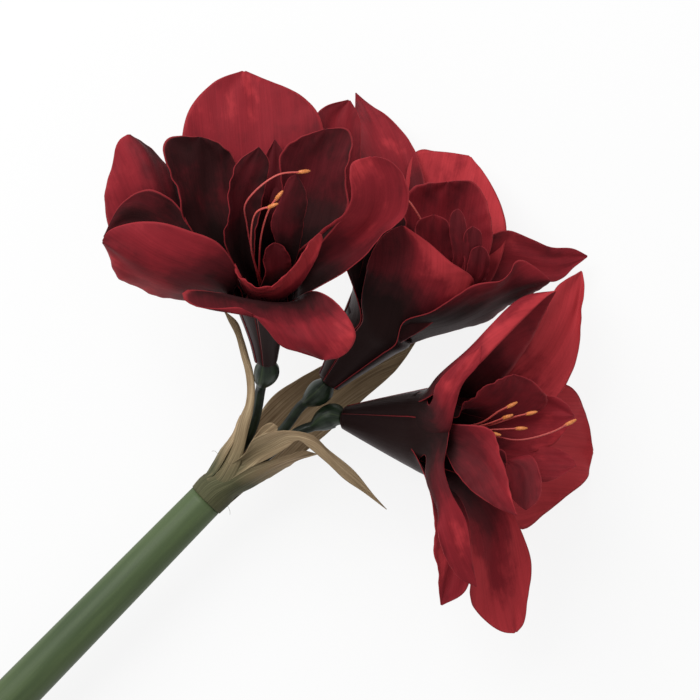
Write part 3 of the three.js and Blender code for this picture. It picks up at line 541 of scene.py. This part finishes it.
# ---------------------------------------------------------------------------------------------
# Stalks and ovaries. Each bloom has its own fleshy stalk. It ends in a glossy dark green ovary
# of three lobes, right below the bloom.
STALK_RADIUS = 2.7
OVARY_RADIUS = 6.5
RECEPTACLE = -1.5
JOINT_GAP = 0.35
STALK_SIDES = 60
STALK_STEPS = 120
LEFT_ROOT = Root(seen((33.5, 76, 66.5)), 90, 40, mouth=17, flare=1.25)
MIDDLE_ROOT = Root(seen((66.5, 64.5, 42)), 50, 22, foot=6.5, mouth=20)
RIGHT_ROOT = Root(seen((75, 44.5, 40)), -8, 22, mouth=22, flare=0.95)


def rod(points, radius_at, steps, sides):
    """A closed rod along a smooth path. radius_at gives its radius at u and at each angle round it."""
    samples, lengths, _ = spline(points)
    s = np.linspace(0, lengths[-1], steps + 1)
    path = np.stack([np.interp(s, lengths, samples[:, k]) for k in range(3)], 1)
    tangent = unit(np.gradient(path, axis=0))
    x = np.array([0.3, 0.2, 1.0])
    angle = np.linspace(0, 2 * math.pi, sides, endpoint=False)
    rings = []
    for i, t in enumerate(tangent):
        x = unit(x - t * (x @ t))
        y = np.cross(t, x)
        radius = np.broadcast_to(radius_at(i / steps, angle), angle.shape)[:, None]
        rings.append(path[i] + radius * (np.cos(angle)[:, None] * x + np.sin(angle)[:, None] * y))
    vertices = np.concatenate(rings + [path[:1], path[-1:]])
    count = len(rings) * sides
    u = np.concatenate([np.repeat(s / lengths[-1], sides), [0, 1]])
    return vertices, ring_faces(len(rings), sides, count, count + 1), u


stalk_green, tree, shader = surface_of("stalk_green")
lines = grain_of(add(tree, "ShaderNodeUVMap", uv_map="blade").outputs["UV"], 900, (1.0, 0.05, 1.0), 3, 0.5)
mottle = grain_of(add(tree, "ShaderNodeTexCoord").outputs["Object"], 150)
green = ramp(mottle, [(0.35, (0.006, 0.012, 0.006)), (0.62, (0.015, 0.027, 0.013))])
green = tint(green, 0.8, lines, [(0.35, 0.55), (0.62, 1.25)])
green = blend("MIX", carried(tree, "lobe"), green, (0.030, 0.048, 0.018))
coat(shader, green, ramp(lines, [(0.35, 0.50), (0.6, 0.34)]), 0.32, 0.5, 0.0003, lines)


def stalk(name, node, root, start, bend, foot):
    top = root.origin + root.axis * (RECEPTACLE - JOINT_GAP)
    heading = unit(top - foot)
    places = [start, bend, foot - heading * 4, foot, top - root.axis * 6, top]
    _, lengths, marks = spline(places)
    ovary = (lengths[-1] - marks[3]) / lengths[-1]

    def radius(u, angle):
        v = (u - 1 + ovary) / ovary
        if v <= 0:
            return STALK_RADIUS * (1 + 0.03 * np.cos(5 * angle))
        swell = float(read([STALK_RADIUS / OVARY_RADIUS, 0.80, 1, 0.96, 0.62], v))
        lobed = 0.05 * np.cos(3 * angle) - 0.045 * np.exp(-((np.sin(1.5 * angle)) / 0.10) ** 2)
        return OVARY_RADIUS * swell * (1 + ease(0, 0.3, v) * lobed)

    vertices, faces, u = rod(places, radius, STALK_STEPS, STALK_SIDES)
    angle = np.tile(np.linspace(0, 2 * math.pi, STALK_SIDES, endpoint=False), STALK_STEPS + 1)
    groove = np.concatenate([np.exp(-((np.sin(1.5 * angle)) / 0.12) ** 2), [0, 0]])
    uv = np.stack([np.concatenate([np.abs(angle - math.pi), [0, 0]]) * 5 * MM, u * lengths[-1] * MM], 1)
    skin(name, (vertices, faces, {"lobe": groove * (u > 1 - ovary)}, uv), stalk_green, [node])


NECK_END = NECK_LENGTH + 0.7
stalk("pedicel_left", "stalk_left", LEFT_ROOT, (NECK_END, 4.2, 33), seen((24, 36, 37)), seen((30.5, 62, 50)))
stalk("pedicel_middle", "stalk_middle", MIDDLE_ROOT, (NECK_END, 0.5, 27.5), seen((40, 36, 29)), seen((53, 52, 34)))
stalk("pedicel_right", "stalk_right", RIGHT_ROOT, (NECK_END, -4.2, 33), seen((47, 35, 33.5)), seen((57, 39.5, 34.5)))


# ---------------------------------------------------------------------------------------------
# Petals. Soft, velvety, deep red blades that grow together into a dark throat, dark with its own colour
# and with painted shade. Six or seven large outer petals open from each throat, with several smaller, ruffled ones
# inside them.
THROAT_WALL = 1.0
THROAT_FLOOR = 8.0
PETAL_SHEET = (76, 32, 0.7)  # rows, columns and thickness
THROAT_SIDES = 60
THROAT_RINGS = 16
THROAT_TOP = 0.93  # in lengths of the root
SEAM = 0.5  # from the throat's surface to the root's
SUNK = 0.6  # how far the petals' bases sink into the throat
OUTER_HEIGHTS = (-0.5, 12, 24, 36)  # where petals hold the throat
OUTER_LIFTS = (0.75, 0.1)  # petals overlap in turn
INNER_HEIGHTS = (22, 33)
OUTER = dict(hug=36, fold=2.0, wave=0.9, ruffle=0.35, dent=0.7, furrow=0.0)
INNER = dict(hug=36, fold=2.0, wave=0.8, ruffle=0.6, dent=0.6, furrow=0.0, mouth=0)

petal_velvet, tree, shader = surface_of("petal_velvet")
sheet_uv = add(tree, "ShaderNodeUVMap", uv_map="blade").outputs["UV"]
where = add(tree, "ShaderNodeTexCoord").outputs["Object"]
along, across, shade, outer = (carried(tree, name) for name in ("along", "across", "shade", "outer"))
veins = grain_of(sheet_uv, 1400, (1.0, 0.020, 1.0), 3, 0.6)
ribs = grain_of(sheet_uv, 240, (1.0, 0.05, 1.0), 2, 0.5)
stain = grain_of(where, 26, (1, 1, 1), 4, 0.6)
blot = grain_of(sheet_uv, 110, (1.0, 0.35, 1.0), 5, 0.65)
pile = grain_of(where, 2600, (1, 1, 1), 2, 0.5)
# How open to the light a place is, painted into the red: 0 deep in the throat, 1 out on the blade.
# The dark throat and tube are partly the petals' own colour and partly painted shade.
openness = maths("MINIMUM", push(0.02, along, 1.55), 0.95)
openness = push(push(openness, stain, 0.7, 0.5), blot, 0.55, 0.5)
# Each petal's shade darkens it across its width, partly its own darker tone and partly painted shade; below zero it
# lightens the petal with painted light.
openness = push(push(openness, shade, -0.75), outer, -0.08, clamp=True)
red = ramp(openness, [(0.00, (0.0085, 0.0042, 0.0040)), (0.22, (0.0230, 0.0062, 0.0068)),
                      (0.48, (0.080, 0.0085, 0.0118)), (0.78, (0.188, 0.0135, 0.0195)),
                      (1.00, (0.370, 0.0310, 0.0380))])
red = tint(red, 0.32, veins, [(0.34, (0.70, 0.66, 0.70)), (0.60, (1.06, 1.05, 1.05))])
red = tint(red, 0.28, ribs, [(0.32, (0.66, 0.60, 0.64)), (0.62, (1.10, 1.06, 1.06))])
edge = maths("MULTIPLY", ramp(maths("ABSOLUTE", across), [(0.955, 0.0), (0.99, 1.0)]),
             ramp(along, [(0.02, 0.85), (0.35, 0.75)]))
red = blend("MIX", edge, red, (0.250, 0.022, 0.027))
relief = push(push(maths("MULTIPLY", veins, 0.45), ribs, 1.0), pile, 0.10)
coat(shader, red, ramp(along, [(0.0, 0.42), (0.3, 0.62)]), 0.11, 0.35, 0.0006, relief)
shader.inputs["Specular Tint"].default_value = (1.0, 0.55, 0.55, 1)
shader.inputs["Sheen Weight"].default_value = 0.04
shader.inputs["Sheen Roughness"].default_value = 0.4
shader.inputs["Sheen Tint"].default_value = (0.9, 0.35, 0.40, 1)


def throat(root):
    """The funnel inside the petals' bases, closed below where it sits on the ovary."""
    angle = np.linspace(0, 2 * math.pi, THROAT_SIDES, endpoint=False)
    out_heights = np.linspace(0, THROAT_TOP, THROAT_RINGS) * root.length
    profile = [(4.0, RECEPTACLE)] + [(root.radius(h) - SEAM, h) for h in out_heights]
    profile += [(root.radius(h) - SEAM - THROAT_WALL, h) for h in out_heights[::-1] if h > THROAT_FLOOR]
    profile += [(root.radius(THROAT_FLOOR) - SEAM - THROAT_WALL, THROAT_FLOOR)]
    rings = []
    for radius, h in profile:
        r = (radius * (1 + 0.02 * np.cos(6 * angle)))[:, None]
        around = np.cos(angle)[:, None] * root.sky + np.sin(angle)[:, None] * root.side
        rings.append(root.origin + root.axis * h + r * around)
    ends = [root.origin + root.axis * RECEPTACLE, root.origin + root.axis * THROAT_FLOOR]
    vertices = np.concatenate(rings + [ends])
    count = len(vertices)
    heights = np.concatenate([np.full(THROAT_SIDES, h) for _, h in profile] + [[RECEPTACLE, THROAT_FLOOR]])
    # The throat's low along and high shade give it the darkest red: partly its own colour, partly painted shade.
    values = {"along": (heights - root.length) / root.length * 0.3, "across": np.zeros(count),
              "shade": np.full(count, 0.8), "outer": np.ones(count)}
    spin = np.concatenate([np.tile(angle, len(profile)) * 0.012, [0, 0]])
    uv = np.stack([spin, heights * MM], 1)
    return vertices, ring_faces(len(profile), THROAT_SIDES, count - 2, count - 1), values, uv


def bloom(name, node, root, outer_petals, inner_petals, seed):
    parts = [throat(root)]
    for k, given in enumerate(outer_petals):
        stations = [(root.radius(h) - SUNK + OUTER_LIFTS[k % 2], h) for h in (*OUTER_HEIGHTS, root.length)]
        parts.append(blade({**OUTER, **given}, root, stations, len(OUTER_HEIGHTS), *PETAL_SHEET, seed + k))
    for k, given in enumerate(inner_petals):
        shape = {**INNER, **given}
        stations = [(root.radius(h) - THROAT_WALL - SUNK, h) for h in INNER_HEIGHTS]
        stations.append((shape["mouth"] or root.mouth - 5, root.length))
        parts.append(blade(shape, root, stations, len(INNER_HEIGHTS), *PETAL_SHEET, seed + 20 + k))
    skin(name, gather(parts), petal_velvet, [node])


# In the petals below, shade gives each petal painted shade and painted light together with its own darker tone.
# Left bloom, which opens towards the sky and away from the stem.
bloom("petals_left", "bloom_left", LEFT_ROOT, [
    dict(angle=186, shade=(0.32, 0.15, 0.3), tip=(23, 223, 98), low=[(52, 149, 110), (64, 176, 110), (62, 198, 107),
         (53, 209, 103), (37, 217, 100)], mid=[(28, 146, 104), (26, 182, 106)], high=[(0, 146, 110), (-8, 176, 110),
         (-5, 201, 106), (7, 216, 101)]),
    dict(angle=240, shade=(0.9, 0.45, 0.1), fold=1.3, tip=(-35, 190, 106), low=[(4, 141, 104), (-9, 158, 105),
         (-16, 174, 105), (-25, 184, 105)], mid=[(-12, 139, 101), (-21, 160, 113), (-29, 179, 112)],
         high=[(-25, 125, 96), (-45, 141, 96), (-48, 157, 101), (-43, 177, 105), (-40, 186, 106)]),
    dict(angle=268, shade=(0.7, 0.8, 0.8), tip=(-48, 137, 110), low=[(-2, 140, 118), (-12, 156, 120),
         (-23, 161, 120), (-38, 154, 115)], mid=[(-13, 133, 108), (-31, 143, 111)], high=[(-14, 121, 104),
         (-34, 127, 106)]),
    dict(angle=305, shade=(0.25, 0.35, -0.05), fold=1.6, tip=(-46, 134, 138), low=[(21, 114, 120), (19, 124, 134),
         (11, 134, 142), (-2, 139, 146), (-16, 143, 147), (-31, 143, 144), (-42, 139, 140)], mid=[(13, 110, 122),
         (-3, 115, 134), (-22, 121, 139), (-38, 130, 140)], high=[(16, 103, 106), (-1, 105, 108), (-19, 107, 112),
         (-30, 111, 116), (-38, 117, 122), (-43, 127, 130)]),
    dict(angle=22, shade=(0.35, 0.3, 0.15), tip=(64, 75, 132), low=[(21, 106, 106), (9, 109, 136), (-5, 109, 148),
         (-4, 105, 149), (11, 101, 146), (24, 101, 143), (34, 93, 140), (44, 82, 136)], mid=[(43, 104, 116),
         (48, 95, 134), (54, 86, 138)], high=[(58, 110, 114), (68, 106, 126), (76, 97, 133), (80, 87, 136),
         (76, 79, 134)]),
    dict(angle=85, shade=(0.3, 0.2, 0.1), tip=(88, 177, 131), low=[(61, 112, 108), (75, 120, 112), (86, 129, 117),
         (96, 141, 121), (105, 150, 124), (107, 158, 126), (103, 169, 128), (96, 175, 130)], mid=[(59, 121, 104),
         (78, 133, 108), (92, 148, 118), (94, 163, 126)], high=[(50, 129, 112), (62, 139, 118), (75, 151, 125),
         (78, 158, 130), (77, 166, 132), (78, 173, 132)]),
], [
    dict(angle=134, shade=(0.75, 0.7, 0.6), tip=(65, 191, 127), low=[(54, 124, 112), (68, 140, 119), (76, 151, 124),
         (75, 164, 126), (78, 178, 128), (76, 190, 128)], mid=[(47, 136, 108), (56, 159, 112), (61, 178, 120)],
         high=[(41, 140, 114), (42, 161, 120), (43, 178, 124), (49, 185, 126)]),
    dict(angle=236, shade=(0.85, 0.9, 0.8), tip=(2, 187, 126), low=[(23, 141, 116), (22, 163, 120), (19, 177, 123),
         (12, 184, 125)], mid=[(14, 134, 106), (6, 156, 112), (4, 176, 120)], high=[(7, 125, 112), (-3, 141, 118),
         (-8, 150, 122), (-9, 160, 124), (-14, 170, 126), (-16, 181, 128), (-13, 186, 127)]),
    dict(angle=180, shade=(0.6, 0.6, 0.6), tip=(39, 187, 112), low=[(47, 156, 112), (46, 176, 112)],
         mid=[(39, 156, 106), (39, 176, 110)], high=[(31, 156, 112), (34, 177, 112)]),
    dict(angle=236, mouth=8, shade=(0.85, 0.8, 0.75), tip=(32, 181, 141), low=[(29, 125, 114), (31, 146, 126),
         (36, 164, 133), (37, 174, 138)], mid=[(23, 125, 108), (22, 148, 122), (26, 167, 134)], high=[(20, 121, 114),
         (15, 133, 126), (16, 149, 134), (18, 164, 138), (22, 173, 140)]),
    dict(angle=95, mouth=8, shade=(0.8, 0.7, 0.6), tip=(51, 167, 146), low=[(50, 126, 114), (54, 143, 126),
         (55, 159, 138)], mid=[(45, 128, 116), (46, 144, 134), (48, 157, 142)], high=[(40, 133, 124), (38, 144, 134),
         (43, 156, 142), (47, 165, 145)]),
    dict(angle=0, mouth=8, shade=(0.5, 0.5, 0.5), tip=(39, 134, 126), low=[(34, 118, 114), (34, 127, 122),
         (36, 132, 126)], mid=[(39, 118, 112), (39, 128, 121)], high=[(47, 120, 114), (47, 127, 121),
         (44, 132, 125)]),
    dict(angle=20, hug=55, shade=(-0.3, -0.4, -0.4), tip=(38, 112, 128), low=[(23, 111, 114), (19, 123, 130),
         (21, 117, 131), (29, 113, 130)], mid=[(37, 107, 112), (38, 110, 121)], high=[(52, 113, 114), (62, 130, 126),
         (63, 138, 130), (56, 134, 132), (49, 121, 131)]),
], 100)

# Middle bloom, which lies lower and leans on the far side. One petal lies on the surface.
bloom("petals_middle", "bloom_middle", MIDDLE_ROOT, [
    dict(angle=250, shade=(0.35, 0.3, 0.35), tip=(80, 221, -4), low=[(119, 138, 50), (117, 165, 42), (112, 186, 32),
         (100, 204, 18), (89, 213, 6)], mid=[(105, 141, 50), (101, 174, 36), (90, 202, 16)], high=[(86, 141, 60),
         (81, 172, 54), (80, 190, 38), (80, 208, 16)]),
    dict(angle=300, shade=(0.4, 0.35, 0.45), tip=(77, 210, 78), low=[(87, 145, 76), (83, 178, 80), (82, 200, 80)],
         mid=[(78, 142, 76), (73, 178, 80), (72, 200, 79)], high=[(69, 140, 82), (61, 178, 84), (59, 200, 82),
         (64, 206, 80)]),
    dict(angle=200, shade=(0, -0.05, -0.05), tip=(142, 185, 18), low=[(145, 109, 50), (160, 139, 38), (158, 158, 30),
         (151, 172, 24)], mid=[(129, 127, 44), (135, 158, 32)], high=[(108, 136, 50), (107, 168, 40), (112, 186, 28),
         (126, 187, 22)]),
    dict(angle=140, shade=(0.3, 0.35, 0.4), tip=(206, 131, 14), low=[(127, 104, 50), (151, 112, 44), (173, 115, 34),
         (190, 118, 25), (198, 125, 19)], mid=[(131, 115, 44), (157, 128, 38), (184, 126, 24)], high=[(130, 123, 50),
         (149, 140, 46), (160, 144, 40), (173, 140, 32), (186, 135, 25), (197, 135, 19)]),
    dict(angle=80, shade=(0.2, 0.65, 0.6), tip=(181, 116, 80), low=[(105, 95, 82), (119, 100, 86), (140, 113, 90),
         (156, 118, 91), (164, 126, 90), (172, 123, 86)], mid=[(104, 88, 64), (128, 95, 70), (151, 106, 76),
         (168, 113, 79)], high=[(106, 83, 52), (119, 87, 46), (134, 91, 44), (151, 97, 50), (168, 107, 64)]),
    dict(angle=15, shade=(0.5, 0.5, -0.35), tip=(104, 144, 99), low=[(83, 106, 80), (86, 122, 88), (90, 134, 94),
         (97, 141, 97)], mid=[(97, 104, 82), (104, 120, 92), (106, 133, 97)], high=[(118, 93, 74), (133, 106, 81),
         (141, 114, 86), (138, 119, 91), (128, 126, 95), (116, 136, 98)]),
], [
    dict(angle=195, shade=(0.35, 0.4, 0.35), tip=(128, 168, 70), low=[(141, 116, 62), (150, 132, 66), (151, 149, 68),
         (147, 160, 69), (140, 168, 70)], mid=[(122, 126, 58), (127, 151, 61)], high=[(106, 130, 66), (105, 151, 70),
         (109, 164, 71), (118, 167, 71)]),
    dict(angle=215, mouth=9, shade=(0.45, 0.5, 0.45), tip=(120, 150, 88), low=[(130, 121, 78), (130, 137, 85),
         (127, 147, 88)], mid=[(120, 123, 76), (120, 138, 83)], high=[(110, 126, 80), (110, 138, 85),
         (112, 146, 88)]),
    dict(angle=190, mouth=7, shade=(0.4, 0.45, 0.4), tip=(132, 153, 92), low=[(137, 123, 82), (137, 142, 90),
         (135, 150, 92)], mid=[(133, 122, 80), (133, 139, 89)], high=[(129, 123, 82), (128, 142, 90),
         (129, 150, 92)]),
    dict(angle=165, mouth=8, shade=(0.4, 0.45, 0.4), tip=(140, 144, 90), low=[(145, 119, 80), (145, 134, 87),
         (144, 141, 90)], mid=[(140, 118, 78), (141, 133, 86)], high=[(135, 119, 80), (135, 134, 87),
         (136, 141, 90)]),
    dict(angle=130, mouth=9, shade=(0.45, 0.5, 0.45), tip=(144, 134, 88), low=[(147, 117, 78), (149, 126, 84),
         (147, 132, 88)], mid=[(141, 114, 76), (144, 125, 84)], high=[(135, 117, 78), (138, 126, 85),
         (140, 132, 88)]),
], 200)

# Right bloom, seen from its side, with its lowest petal on the surface.
bloom("petals_right", "bloom_right", RIGHT_ROOT, [
    dict(angle=232, shade=(-0.4, -0.25, -0.15), tip=(201, 123, 32), low=[(156, 41, 50), (182, 51, 46), (196, 72, 42),
         (200, 94, 40), (202, 111, 36)], mid=[(150, 53, 46), (176, 69, 42), (193, 96, 38)], high=[(139, 62, 60),
         (165, 78, 54), (181, 104, 48), (190, 116, 41)]),
    dict(angle=285, shade=(0.3, 0.2, -0.3), tip=(184, 111, 78), low=[(144, 55, 62), (160, 69, 66), (172, 86, 71),
         (180, 104, 76)], mid=[(124, 67, 80), (137, 79, 84), (151, 93, 86), (167, 107, 83)], high=[(126, 61, 86),
         (140, 70, 92), (154, 84, 93), (168, 98, 89), (179, 108, 82)]),
    dict(angle=180, shade=(-0.5, -0.4, -0.45), tip=(210, 25, -4), low=[(151, 6, 46), (168, -15, 38), (182, -7, 28),
         (193, 1, 20), (206, 11, 6)], mid=[(160, 32, 38), (185, 28, 20)], high=[(157, 51, 44), (181, 62, 34),
         (195, 61, 24), (205, 46, 12)]),
    dict(angle=110, shade=(-0.2, 0.15, -0.4), tip=(165, -70, 42), low=[(124, 13, 66), (136, -8, 68), (139, -29, 62),
         (141, -52, 54), (150, -64, 47), (158, -69, 44)], mid=[(134, 12, 52), (152, -12, 54), (157, -38, 49)],
         high=[(142, 20, 46), (158, 1, 48), (168, -16, 48), (173, -32, 46), (171, -52, 43), (169, -65, 42)]),
    dict(angle=60, shade=(0.1, 0.2, 0.2), tip=(124, -52, 80), low=[(118, 8, 78), (121, -17, 84), (122, -36, 84)],
         mid=[(127, 8, 70), (130, -23, 76)], high=[(135, 2, 70), (140, -23, 74), (137, -44, 78)]),
    dict(angle=335, shade=(0.1, -0.1, 0), tip=(144, 83, 104), low=[(118, 52, 84), (123, 65, 98), (133, 75, 104)],
         mid=[(121, 45, 90), (127, 59, 101), (135, 71, 104)], high=[(126, 36, 88), (131, 52, 99), (135, 64, 103),
         (143, 74, 104)]),
    dict(angle=20, shade=(0.15, 0.05, 0.25), tip=(142, -41, 96), low=[(127, 42, 86), (127, 33, 95), (125, 21, 99),
         (128, 9, 102), (136, -7, 104), (139, -25, 101)], mid=[(121, 34, 88), (120, 19, 97), (125, 2, 102),
         (131, -19, 103)], high=[(116, 26, 82), (116, 14, 90), (121, -1, 99), (123, -19, 104), (132, -35, 101)]),
], [
    dict(angle=22, shade=(-0.12, 0.2, 0.4), tip=(162, -4, 103), low=[(134, 42, 92), (149, 40, 98), (154, 25, 101),
         (158, 10, 103)], mid=[(133, 32, 88), (146, 22, 96), (154, 8, 101)], high=[(124, 30, 86), (131, 18, 94),
         (141, 7, 99), (152, 0, 102)]),
    dict(angle=265, shade=(0.35, 0.4, 0.35), tip=(161, 68, 92), low=[(155, 44, 66), (178, 50, 74), (178, 58, 82),
         (171, 64, 88)], mid=[(140, 50, 70), (157, 57, 80)], high=[(132, 45, 76), (137, 54, 84), (146, 61, 90)]),
    dict(angle=200, shade=(0.3, 0.35, 0.3), tip=(194, 46, 70), low=[(156, 25, 58), (181, 30, 64), (191, 40, 69)],
         mid=[(151, 41, 56), (176, 46, 62)], high=[(150, 52, 62), (176, 58, 66), (189, 53, 70)]),
    dict(angle=130, shade=(0.35, 0.35, 0.3), tip=(195, 20, 70), low=[(150, 11, 64), (173, 11, 70), (185, 14, 72)],
         mid=[(145, 23, 58), (171, 21, 64)], high=[(161, 31, 58), (184, 29, 64), (192, 25, 68)]),
    dict(angle=90, mouth=9, shade=(0.4, 0.4, 0.35), tip=(167, -2, 92), low=[(144, 29, 84), (156, 28, 88),
         (158, 14, 91), (161, 3, 92)], mid=[(147, 24, 80), (164, 20, 86)], high=[(152, 23, 78), (170, 26, 84),
         (175, 15, 90), (174, 4, 92)]),
], 300)


# ---------------------------------------------------------------------------------------------
# Stamens. Slender red-orange filaments with pollen-dusted anthers. They stand together at the
# bottom of each throat.
FILAMENT_RADIUS = 0.6
ANTHER_LENGTH = 7.0
ANTHER_RADIUS = 0.9
DISC_RADIUS = 3.4
DISC_THICKNESS = 1.6

filament_red, tree, shader = surface_of("filament_red")
grain = grain_of(add(tree, "ShaderNodeTexCoord").outputs["Object"], 1800, (1, 1, 1), 3)
red = ramp(carried(tree, "reach"), [(0.10, (0.08, 0.006, 0.008)), (0.55, (0.28, 0.020, 0.026)),
                                    (0.93, (0.46, 0.060, 0.050)), (0.98, (0.60, 0.20, 0.05))])
red = tint(red, 0.7, grain, [(0.38, (0.62, 0.55, 0.42)), (0.62, (1.1, 1.08, 1.0))])
coat(shader, red, 0.5, 0.5, 0.5, 0.0003, grain)

# Pollen: tiny grains that stick to the anthers.
pollen, given = tree_of("pollen", "GeometryNodeTree", [
    ("Geometry", "Geometry", None), ("Count per Area", "Float", 6e6), ("Grain", "Float", 0.00016),
    ("Seed", "Int", 0), ("Dust", "Material", None),
], ("Geometry", "Geometry"))
ball = add(pollen, "GeometryNodeMeshIcoSphere", in_Subdivisions=1, in_Radius=given["Grain"])
grains = copies(pollen, scatter_on(pollen, given, "reach", 0.98), ball.outputs["Mesh"])
grains = add(pollen, "GeometryNodeStoreNamedAttribute", data_type="FLOAT", domain="POINT", in_Geometry=grains,
             in_Name="reach", in_Value=1.0)
join_to_piece(pollen, given, grains.outputs[0], "Dust")


def stamens(name, node, root, tips, seed):
    parts = []

    def add_rod(points, radius_at, steps, sides, low, high):
        """Adds a rod whose reach goes from low at its foot to high at its tip."""
        vertices, faces, u = rod(points, radius_at, steps, sides)
        parts.append((vertices, faces, {"reach": low + (high - low) * u}, np.zeros((len(vertices), 2))))

    base = THROAT_FLOOR + JOINT_GAP
    foot = root.origin + root.axis * base
    add_rod([foot, foot + root.axis * DISC_THICKNESS], lambda u, a: DISC_RADIUS, 2, 24, 0, 0.1)
    for k, places in enumerate(tips):
        away = root.outward(360 * k / len(tips))
        start = root.origin + root.axis * (base + 0.5) + away * DISC_RADIUS * 0.6
        bend = root.origin + root.axis * root.length * 0.7 + away * DISC_RADIUS * 0.8
        points = [start, bend, *seen(places)]
        add_rod(points, lambda u, a: FILAMENT_RADIUS * (1.15 - 0.4 * u) * (1 + 0.25 * np.cos(2 * a)), 70, 12, 0, 0.93)
        end = np.asarray(points[-1])
        heading = unit(end - np.asarray(points[-2])) * ANTHER_LENGTH / 2
        droop = np.array([0, 0, -0.9])
        add_rod([end - heading + droop, end + [0, 0, 0.3], end + heading + droop],
                lambda u, a: ANTHER_RADIUS * max(math.sin(math.pi * (0.04 + 0.92 * u)), 0.1) ** 0.55
                * (1 - 0.22 * np.exp(-((np.sin(a)) / 0.25) ** 2)), 24, 16, 1, 1)
    skin(name, gather(parts), filament_red, [node], (pollen, {"Seed": seed, "Dust": filament_red}))


stamens("anthers_left", "stamens_left", LEFT_ROOT, [
    [(26, 142, 134), (26, 153, 146), (41, 166, 150), (54, 168, 147)],
    [(28, 132, 134), (31, 148, 147), (39, 151, 152)],
    [(33, 137, 134), (38, 151, 146), (42, 156, 148)],
], 1)
stamens("anthers_middle", "stamens_middle", MIDDLE_ROOT, [
    [(91, 94, 60)],
    [(94, 93, 56)],
    [(86, 103, 60), (95, 116, 64), (105, 128, 70), (115, 142, 78), (109, 155, 83), (103, 161, 84)],
], 2)
stamens("anthers_right", "stamens_right", RIGHT_ROOT, [
    [(143, 42, 78), (154, 49, 86), (160, 52, 88)],
    [(144, 41, 78), (158, 46, 86)],
    [(147, 41, 78), (162, 46, 86), (170, 48, 90)],
    [(145, 39, 78), (165, 40, 86)],
    [(141, 39, 76), (152, 37, 84)],
    [(150, 36, 78), (164, 34, 86), (180, 38, 90), (190, 43, 90)],
], 3)


# ---------------------------------------------------------------------------------------------
# Surface, camera and light. A plain, pale, softly glowing table, a camera that looks straight
# down on the stem, and plain, very soft studio light.
CAMERA_HEIGHT = 1.5
CAMERA_FOCUS = 2750 / 700 * 36  # in widths of the picture, times the sensor's width
CAMERA_OFFSET = (111.3, 1.1)

floor_mesh = bpy.data.meshes.new("surface")
floor_mesh.from_pydata([(-4, -4, 0), (4, -4, 0), (4, 4, 0), (-4, 4, 0)], [], [(0, 1, 2, 3)])
surface = bpy.data.objects.new("surface", floor_mesh)
bpy.context.scene.collection.objects.link(surface)
surface_white, tree, shader = surface_of("surface_white")
shader.inputs["Base Color"].default_value = (0.10, 0.10, 0.10, 1)
shader.inputs["Emission Color"].default_value = (1, 1, 1, 1)
shader.inputs["Emission Strength"].default_value = 0.86
shader.inputs["Specular IOR Level"].default_value = 0.0
shader.inputs["Roughness"].default_value = 0.9
floor_mesh.materials.append(surface_white)

camera = bpy.data.objects.new("camera", bpy.data.cameras.new("camera"))
bpy.context.scene.collection.objects.link(camera)
camera.data.lens = CAMERA_FOCUS
camera.data.clip_end = 20
camera.location = ((COLLAR[0] + CAMERA_OFFSET[0]) * MM, (COLLAR[1] + CAMERA_OFFSET[1]) * MM, CAMERA_HEIGHT)
camera.rotation_euler = (0, 0, -STEM_HEADING)
bpy.context.scene.camera = camera

world = bpy.data.worlds.new("studio")
bpy.context.scene.world = world
world.use_nodes = True
world.node_tree.nodes["Background"].inputs[0].default_value = (1, 1, 1, 1)
world.node_tree.nodes["Background"].inputs[1].default_value = 0.60
bpy.context.scene.view_settings.view_transform = "Standard"


def softbox(name, place, aim, size, energy):
    lamp = bpy.data.objects.new(name, bpy.data.lights.new(name, "AREA"))
    bpy.context.scene.collection.objects.link(lamp)
    lamp.data.size = size
    lamp.data.energy = energy
    lamp.location = place
    lamp.rotation_euler = (Vector(aim) - Vector(place)).to_track_quat("-Z", "Y").to_euler()


head = (COLLAR[0] * MM + 0.12, COLLAR[1] * MM, 0.05)
softbox("softbox", (head[0] + 0.2, head[1] + 1.2, 1.3), head, 1.2, 34)
